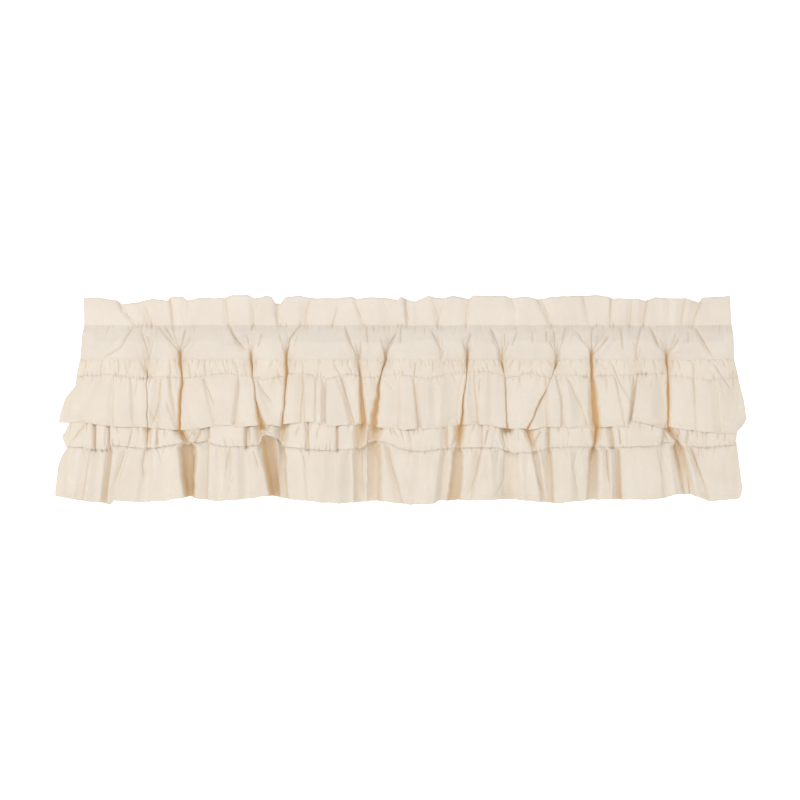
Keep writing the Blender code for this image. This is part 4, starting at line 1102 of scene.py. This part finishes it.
def muslin(name, plain, tint):
    """Unbleached cotton muslin: a matt plain weave of uneven yarn, cream, with painted golden
    shade and painted glow.
    """
    material, tree, shader = new_material(
        name, Roughness=0.92, Specular_IOR_Level=0.25, Sheen_Weight=0.12, Sheen_Roughness=0.6
    )
    flat = add_node(tree, "ShaderNodeUVMap", {"uv_map": "flat_cloth"}).outputs["UV"]
    place = add_node(tree, "ShaderNodeTexCoord").outputs["Object"]
    add, times, add_times, sine = (
        {"operation": operation} for operation in ("ADD", "MULTIPLY", "MULTIPLY_ADD", "SINE")
    )

    # The yarns lie 0.45 mm apart, too fine to show from the front, so they are drawn at 0.9 mm
    yarn_turns = 2.0 * np.pi / 0.0009
    parts = add_node(tree, "ShaderNodeSeparateXYZ", Vector=flat)
    yarns = []
    for axis in ("X", "Y"):
        turn = add_node(tree, "ShaderNodeMath", times, i0=parts.outputs[axis], i1=yarn_turns)
        yarns.append(add_node(tree, "ShaderNodeMath", sine, i0=turn.outputs[0]).outputs[0])
    weave = add_node(tree, "ShaderNodeMath", times, i0=yarns[0], i1=yarns[1])

    # Slubs: thick places of the yarn, 10 to 30 mm long and about a millimetre high
    slubs = []
    for scale in ((60.0, 900.0, 1.0), (900.0, 45.0, 1.0)):
        along = add_node(tree, "ShaderNodeMapping", Vector=flat, Scale=scale).outputs[0]
        slub = add_node(tree, "ShaderNodeTexNoise", Vector=along, Scale=1.0, Detail=2.0)
        slubs.append(slub.outputs[0])
    slub = add_node(tree, "ShaderNodeMath", add, i0=slubs[0], i1=slubs[1]).outputs[0]
    slub_range = {"From_Min": 0.7, "From_Max": 1.3, "To_Min": 0.97, "To_Max": 1.02}
    shade = add_node(tree, "ShaderNodeMapRange", Value=slub, **slub_range).outputs[0]

    # Cream of uneven depth, in patches some 60 mm across
    patches = add_node(tree, "ShaderNodeTexNoise", Vector=place, Scale=16.0, Detail=4.0)
    tone = add_node(tree, "ShaderNodeValToRGB", Fac=patches.outputs[0])
    tone.color_ramp.elements[0].position = 0.3
    tone.color_ramp.elements[1].position = 0.7
    colour_ramp(tone, plain)
    scaled = {"operation": "SCALE"}
    cream = add_node(tree, "ShaderNodeVectorMath", scaled, i0=tone.outputs[0], Scale=shade)

    # Seed flecks that unbleached cotton keeps, about a millimetre across and far apart
    seeds = add_node(tree, "ShaderNodeTexVoronoi", Vector=flat, Scale=42.0).outputs["Distance"]
    seed_range = {"From_Min": 0.018, "From_Max": 0.03, "To_Min": 0.45, "To_Max": 0.0}
    fleck = add_node(tree, "ShaderNodeMapRange", Value=seeds, **seed_range).outputs[0]
    brown = linear(SEED_BROWN)
    colours = {"data_type": "RGBA"}
    colour = add_node(tree, "ShaderNodeMix", colours, i0=fleck, i6=cream.outputs[0], i7=brown)

    # Painted shade: deep folds, their walls, pinches, pits and sharp creases are painted golden,
    # for light that has passed through several layers. The last tint multiplies in painted grey
    # shade on the pocket's front, and elsewhere the hems' tint where the cloth is doubled
    for label, hue, blend in (
        ("painted_fold_shade", GOLDEN_FOLD_SHADE, "MIX"),
        ("painted_crease_shade", GOLDEN_CREASE_SHADE, "MIX"),
        ("pocket_shade_and_hems", tint, "MULTIPLY"),
    ):
        share = add_node(tree, "ShaderNodeAttribute", {"attribute_name": label}).outputs["Fac"]
        blended = {**colours, "blend_type": blend}
        under = colour.outputs[2]
        colour = add_node(tree, "ShaderNodeMix", blended, i0=share, i6=under, i7=linear(hue))
    tree.links.new(colour.outputs[2], shader.inputs["Base Color"])

    # Painted light: an emission makes deep folds and their walls glow, for the room's light that
    # comes through the thin cloth from behind
    through = add_node(tree, "ShaderNodeAttribute", {"attribute_name": "glow"}).outputs["Fac"]
    normal = add_node(tree, "ShaderNodeNewGeometry").outputs["Normal"]
    facing = add_node(tree, "ShaderNodeSeparateXYZ", Vector=normal).outputs["Y"]
    front_range = {"From_Min": 0.4, "From_Max": 0.1, "To_Min": 0.0, "To_Max": 0.2}
    front = add_node(tree, "ShaderNodeMapRange", Value=facing, **front_range).outputs[0]
    glow = add_node(tree, "ShaderNodeMath", times, i0=through, i1=front)
    shader.inputs["Emission Color"].default_value = linear(GOLDEN_GLOW)
    tree.links.new(glow.outputs[0], shader.inputs["Emission Strength"])

    # The weave, its slubs and the small crumples of handled cloth catch the light
    crumple = add_node(tree, "ShaderNodeTexNoise", Vector=place, Scale=120.0, Detail=3.0)
    fine = add_node(tree, "ShaderNodeMath", add_times, i0=slub, i1=0.7, i2=weave.outputs[0])
    rough, fine = crumple.outputs[0], fine.outputs[0]
    height = add_node(tree, "ShaderNodeMath", add_times, i0=rough, i1=5.0, i2=fine).outputs[0]
    bump = add_node(tree, "ShaderNodeBump", Strength=0.35, Distance=0.0003, Height=height)
    tree.links.new(bump.outputs[0], shader.inputs["Normal"])
    return material


def windows(values, reach):
    """Copies of a grid's values, moved by up to some columns to the left and right."""
    padded = np.pad(values, ((0, 0), (reach, reach)), mode="edge")
    return [padded[:, step : step + values.shape[1]] for step in range(2 * reach + 1)]


def hollowness(grid, reach):
    """How much deeper each place lies than those some columns to its left and right."""
    beside = windows(grid[:, :, 1], reach)
    return grid[:, :, 1] - 0.5 * (beside[0] + beside[-1])


def behind_lips(grid, reach):
    """How far each place lies behind the foremost cloth some columns to its left and right."""
    foremost = np.min(windows(grid[:, :, 1], reach), axis=0)
    return grid[:, :, 1] - np.mean(windows(foremost, reach), axis=0)


def spread_out(values, reach):
    """Softens values over some columns to the left and right."""
    for _ in range(2):
        values = np.mean(windows(values, reach), axis=0)
    return values


def placed(name, data):
    """Puts a mesh, a lamp or a camera into the scene."""
    thing = bpy.data.objects.new(name, data)
    bpy.context.scene.collection.objects.link(thing)
    return thing


def tints(grid, wall_glow):
    """Painted shade and glow in deep folds, on their walls, at pinches and pits and in creases."""
    x, y, z = grid[:, :, 0], grid[:, :, 1], grid[:, :, 2]
    depth = behind_lips(grid, 22)
    steep = np.abs(np.gradient(y, axis=1)) / np.maximum(np.abs(np.gradient(x, axis=1)), 0.05)
    wall = smooth((steep - 0.8) / 2.5) * smooth((depth - 3.0) / 9.0)
    beside = spread_out(wall, 6)
    # Painted shade: golden in deep folds, on steep walls and beside them, at pinches and in pits
    golden_shade = 0.41 * smooth((depth - 5.5) / 19.0) + 0.22 * wall + 0.34 * beside
    golden_shade = golden_shade + 0.3 * bunched(x, z) + 0.4 * pitted(x, z)
    # Painted light: the glow of deep folds and of their walls
    glow = 0.36 * smooth((depth - 8.0) / 16.0) + wall_glow * (wall + 0.3 * beside)
    # Painted shade in narrow creases
    painted_crease_shade = 0.38 * smooth((hollowness(grid, 2) - 0.08) / 1.2)
    return {"painted_fold_shade": golden_shade, "glow": glow, "painted_crease_shade": painted_crease_shade}


def cloth(name, grid, pocket_shade_and_hems, material, wall_glow):
    """Makes a fine sheet through a grid of points, with its flat size, its painted shade and glow,
    and its hem layers, which on the band carry the pocket's painted shade.
    """
    rows, count, _ = grid.shape
    mesh = bpy.data.meshes.new(name)
    corner = np.arange(rows * count).reshape(rows, count)
    faces = np.stack([corner[:-1, :-1], corner[1:, :-1], corner[1:, 1:], corner[:-1, 1:]], axis=-1)
    mesh.from_pydata((grid.reshape(-1, 3) * MM).tolist(), [], faces.reshape(-1, 4).tolist())

    # The cloth's own flat places, from the way along its middle row and down its columns
    width = run_of(np.linalg.norm(np.diff(grid[rows // 2], axis=0), axis=1))
    drop = run_of(np.maximum(np.abs(np.diff(grid[:, :, 2], axis=0)).mean(axis=1), 1.0))
    flat = np.stack(np.broadcast_arrays(width[None, :], drop[:, None]), axis=-1) * MM
    corners = np.empty(len(mesh.loops), dtype=np.int32)
    mesh.loops.foreach_get("vertex_index", corners)
    flat_cloth = mesh.uv_layers.new(name="flat_cloth")
    flat_cloth.data.foreach_set("uv", flat.reshape(-1, 2)[corners].ravel())

    for label, values in {**tints(grid, wall_glow), "pocket_shade_and_hems": pocket_shade_and_hems}.items():
        attribute = mesh.attributes.new(label, "FLOAT", "POINT")
        attribute.data.foreach_set("value", values.ravel().astype(np.float32))
    mesh.polygons.foreach_set("use_smooth", [True] * len(mesh.polygons))
    mesh.materials.append(material)
    piece = placed(name, mesh)
    sheet = piece.modifiers.new("Cloth thickness", "SOLIDIFY")
    sheet.thickness = CLOTH_THICK * MM
    sheet.offset = 0.0
    return piece


def hem_layers(grid, hem=None):
    """Where the cloth is doubled: along its side hems and, if it has one, its foot hem."""
    x, z = grid[:, :, 0], grid[:, :, 2]
    at_left = smooth((x[:, :1] + SIDE_HEM - x) / HEM_BEGINS)
    at_right = smooth((x - x[:, -1:] + SIDE_HEM) / HEM_BEGINS)
    doubled = np.maximum(at_left, at_right)
    if hem is not None:
        doubled = np.maximum(doubled, smooth((edge_height(hem, x) + FOOT_HEM - z) / HEM_BEGINS))
    return doubled


def painted_pocket_shade(band):
    """Painted shade on the pocket's front: greyer most along its middle, up to an uneven
    stitch line.
    """
    x, z = band[:, :, 0], band[:, :, 2]
    front = np.arange(len(band))[:, None] >= BAND_STITCH_ROW
    foot = -20.0 + 6.0 * wander(x, 0.0, 120.0, 21)
    tint = smooth((z - foot) / 10.0) * (0.6 + 0.4 * smooth((10.0 - z) / 12.0))
    tint = tint * smooth((x + 628.0) / 2.0) * smooth((632.0 - x) / 2.0)
    top = STITCH_Z + 1.0 + 1.5 * wander(x, 0.0, 14.0, 23)
    return front * smooth((top - z) / 3.0) * np.maximum(tint, 0.35)


def seam_curve(grid, edge, above):
    """A line of stitches across the front of a piece, so far above an edge."""
    z = grid[:, :, 2]
    line = []
    for number in range(grid.shape[1]):
        order = np.argsort(z[:, number])
        level = edge_height(edge, grid[0, number, 0]) + above
        x = np.interp(level, z[order, number], grid[order, number, 0])
        y = np.interp(level, z[order, number], grid[order, number, 1])
        line.append((x, y - THREAD_OUT, level))
    return np.array(line)


def thread():
    """Cotton sewing thread: matt, a little paler and yellower than the cloth."""
    material, tree, shader = new_material("cotton sewing thread", Roughness=0.8, Sheen_Weight=0.1)
    place = add_node(tree, "ShaderNodeTexCoord").outputs["Object"]
    twist = add_node(tree, "ShaderNodeTexNoise", Vector=place, Scale=900.0, Detail=2.0)
    tone = add_node(tree, "ShaderNodeValToRGB", Fac=twist.outputs[0])
    colour_ramp(tone, THREAD_TONES)
    tree.links.new(tone.outputs[0], shader.inputs["Base Color"])
    return material


def stitch_tree(material):
    """Stitches along a line: short rounded threads, each with a gap to the next one."""
    tree = bpy.data.node_groups.new("Stitches", "GeometryNodeTree")
    sockets = {}
    for label, way, kind in (
        ("Line", "INPUT", "NodeSocketGeometry"),
        ("Stitch pitch", "INPUT", "NodeSocketFloat"),
        ("Thread thickness", "INPUT", "NodeSocketFloat"),
        ("Stitches", "OUTPUT", "NodeSocketGeometry"),
    ):
        socket = tree.interface.new_socket(label, in_out=way, socket_type=kind)
        sockets[label] = socket.identifier
    source = add_node(tree, "NodeGroupInput")
    pitch, thick = source.outputs["Stitch pitch"], source.outputs["Thread thickness"]
    line = add_node(tree, "GeometryNodeMeshToCurve", Mesh=source.outputs["Line"]).outputs[0]
    by_length = {"mode": "LENGTH"}
    even = add_node(tree, "GeometryNodeResampleCurve", by_length, Curve=line, Length=pitch)
    tangent = add_node(tree, "GeometryNodeInputTangent").outputs[0]
    turn = add_node(tree, "FunctionNodeAlignEulerToVector", {"axis": "Z"}, Vector=tangent)
    long = add_node(tree, "ShaderNodeMath", {"operation": "MULTIPLY"}, i0=pitch, i1=0.72)
    size = add_node(tree, "ShaderNodeCombineXYZ", X=thick, Y=thick, Z=long.outputs[0])
    bead = add_node(tree, "GeometryNodeMeshUVSphere", Segments=6, Rings=4, Radius=0.5)
    rows = add_node(
        tree,
        "GeometryNodeInstanceOnPoints",
        Points=even.outputs[0],
        Instance=bead.outputs[0],
        Rotation=turn.outputs[0],
        Scale=size.outputs[0],
    )
    real = add_node(tree, "GeometryNodeRealizeInstances", Geometry=rows.outputs[0])
    round_off = add_node(tree, "GeometryNodeSetShadeSmooth", Geometry=real.outputs[0])
    cotton = {"Geometry": round_off.outputs[0], "Material": material}
    finish = add_node(tree, "GeometryNodeSetMaterial", **cotton)
    tree.links.new(finish.outputs[0], add_node(tree, "NodeGroupOutput").inputs[0])
    return tree, sockets


def stitching(name, lines, tree, sockets):
    """Sews stitches along some lines of a piece, as one plain mesh."""
    mesh = bpy.data.meshes.new(name)
    points, edges = [], []
    for line in lines:
        start = len(points)
        points += (line * MM).tolist()
        edges += [(start + number, start + number + 1) for number in range(len(line) - 1)]
    mesh.from_pydata(points, edges, [])
    guide = placed(name + "_line", mesh)
    sewing = guide.modifiers.new("Stitches", "NODES")
    sewing.node_group = tree
    sewing[sockets["Stitch pitch"]] = STITCH_PITCH * MM
    sewing[sockets["Thread thickness"]] = THREAD_THICK * MM
    graph = bpy.context.evaluated_depsgraph_get()
    sewn = bpy.data.meshes.new_from_object(guide.evaluated_get(graph))
    bpy.data.objects.remove(guide)
    sewn.name = name
    return placed(name, sewn)


def build_cloth():
    """Makes the four pieces of cloth and their stitching, and ties them to the solids."""
    single = muslin("unbleached cotton muslin", CREAM, NO_TINT)
    doubled = muslin("unbleached cotton muslin, doubled", CREAM_DOUBLED, POCKET_SHADE_GREY)
    band, panel, upper, lower = band_grid(), panel_grid(), upper_grid(), lower_grid()
    face = band[BAND_TOP_ROW:]

    # Each piece's grid, its tinted share (painted shade on the pocket, hem layers elsewhere), its
    # material, its slot, the glow of its walls and its flat size, then its lines of stitches
    pieces = {
        "heading_band": (
            (band, painted_pocket_shade(band), doubled, "muslin_doubled", WALL_GLOW, (1.524, 0.284)),
            [(face, STITCH_LINE, 0.0), (face, POCKET_FOOT, POCKET_STITCH_UP)],
        ),
        "panel": (
            (panel, hem_layers(panel), single, "muslin", WALL_GLOW, (1.524, 0.2)),
            [(panel, PANEL_FOOT, FOOT_STITCH_UP)],
        ),
        "upper_ruffle": (
            (upper, hem_layers(upper, UPPER_HEM), single, "muslin", WALL_GLOW, (2.1, 0.125)),
            [(upper, UPPER_HEM, FOOT_HEM), (upper, UPPER_SEAM, -SEAM_STITCH_DOWN)],
        ),
        "lower_ruffle": (
            (lower, hem_layers(lower, LOWER_HEM), single, "muslin", LOWER_WALL_GLOW, (2.1, 0.13)),
            [(lower, LOWER_HEM, FOOT_HEM)],
        ),
    }
    tree, sockets = stitch_tree(thread())
    for node, ((grid, pocket_shade_and_hems, material, slot, wall_glow, flat), seams) in pieces.items():
        piece = cloth(node + "_cloth", grid, pocket_shade_and_hems, material, wall_glow)
        lines = [seam_curve(*seam) for seam in seams]
        sewn = stitching(node + "_stitching", lines, tree, sockets)
        for part in (piece, sewn):
            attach(part, "root")
        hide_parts(node)


def softbox(name, place, aim, size, power):
    """A square soft light that looks at a point."""
    light = bpy.data.lights.new(name, "AREA")
    light.shape = "SQUARE"
    light.size = size
    light.energy = power
    lamp = placed(name, light)
    lamp.location = place
    lamp.visible_camera = False
    x, y, z = np.array(aim) - np.array(place)
    lamp.rotation_euler = (np.arctan2(np.hypot(x, y), -z), 0.0, np.arctan2(y, x) - np.pi / 2.0)


def paper_sweep():
    """White seamless paper: a pale floor and wall with one curve between, soft and even."""
    curve = []
    for step in range(10):
        turn = step / 9.0 * np.pi / 2.0
        y = FLOOR_BACK_Y + SWEEP_RADIUS * np.sin(turn)
        curve.append((y, FLOOR_Z + SWEEP_RADIUS - SWEEP_RADIUS * np.cos(turn)))
    wall_y = FLOOR_BACK_Y + SWEEP_RADIUS
    profile = [(-PAPER_HALF_WIDTH, FLOOR_Z), *curve, (wall_y, PAPER_TOP_Z)]
    mesh = bpy.data.meshes.new("paper_sweep")
    points = [(x, y, z) for x in (-PAPER_HALF_WIDTH, PAPER_HALF_WIDTH) for y, z in profile]
    count = len(profile)
    faces = [(n, count + n, count + n + 1, n + 1) for n in range(count - 1)]
    mesh.from_pydata(points, [], faces)
    mesh.polygons.foreach_set("use_smooth", [True] * len(mesh.polygons))
    material, tree, shader = new_material(
        "white seamless paper",
        Base_Color=linear(PAPER_WHITE),
        Roughness=0.95,
        Emission_Color=linear("#FFFFFF"),
    )
    # It glows behind the valance only, so that no strong light comes up from the floor
    place = add_node(tree, "ShaderNodeTexCoord").outputs["Object"]
    back = add_node(tree, "ShaderNodeSeparateXYZ", Vector=place).outputs["Y"]
    glow_range = {"From_Min": 0.9, "From_Max": 1.7, "To_Min": 0.0, "To_Max": 0.5}
    behind = add_node(tree, "ShaderNodeMapRange", Value=back, **glow_range)
    tree.links.new(behind.outputs[0], shader.inputs["Emission Strength"])
    mesh.materials.append(material)
    placed("paper_sweep", mesh)


def studio():
    """Camera square on as in the photo, soft light from all round and a pale sweep."""
    scene = bpy.context.scene
    camera = bpy.data.cameras.new("camera")
    camera.lens = 85.0
    camera.sensor_width = 36.0
    holder = placed("camera", camera)
    holder.location = (-0.016, -3.79, -0.13)
    holder.rotation_euler = (np.pi / 2.0, 0.0, 0.0)
    scene.camera = holder
    scene.view_settings.view_transform = "Standard"
    world = bpy.data.worlds.new("studio air")
    world.use_nodes = True
    background = world.node_tree.nodes["Background"]
    background.inputs["Color"].default_value = linear(AIR_WHITE)
    background.inputs["Strength"].default_value = 0.6
    scene.world = world
    softbox("softbox left", (-2.4, -2.4, 1.2), (0.0, 0.0, -0.1), 2.2, 34.0)
    softbox("softbox right", (2.6, -2.8, 0.8), (0.0, 0.0, -0.1), 2.2, 17.0)
    softbox("softbox front", (-0.3, -4.4, -0.7), (0.0, 0.0, -0.15), 1.8, 38.0)
    paper_sweep()


build_cloth()
studio()
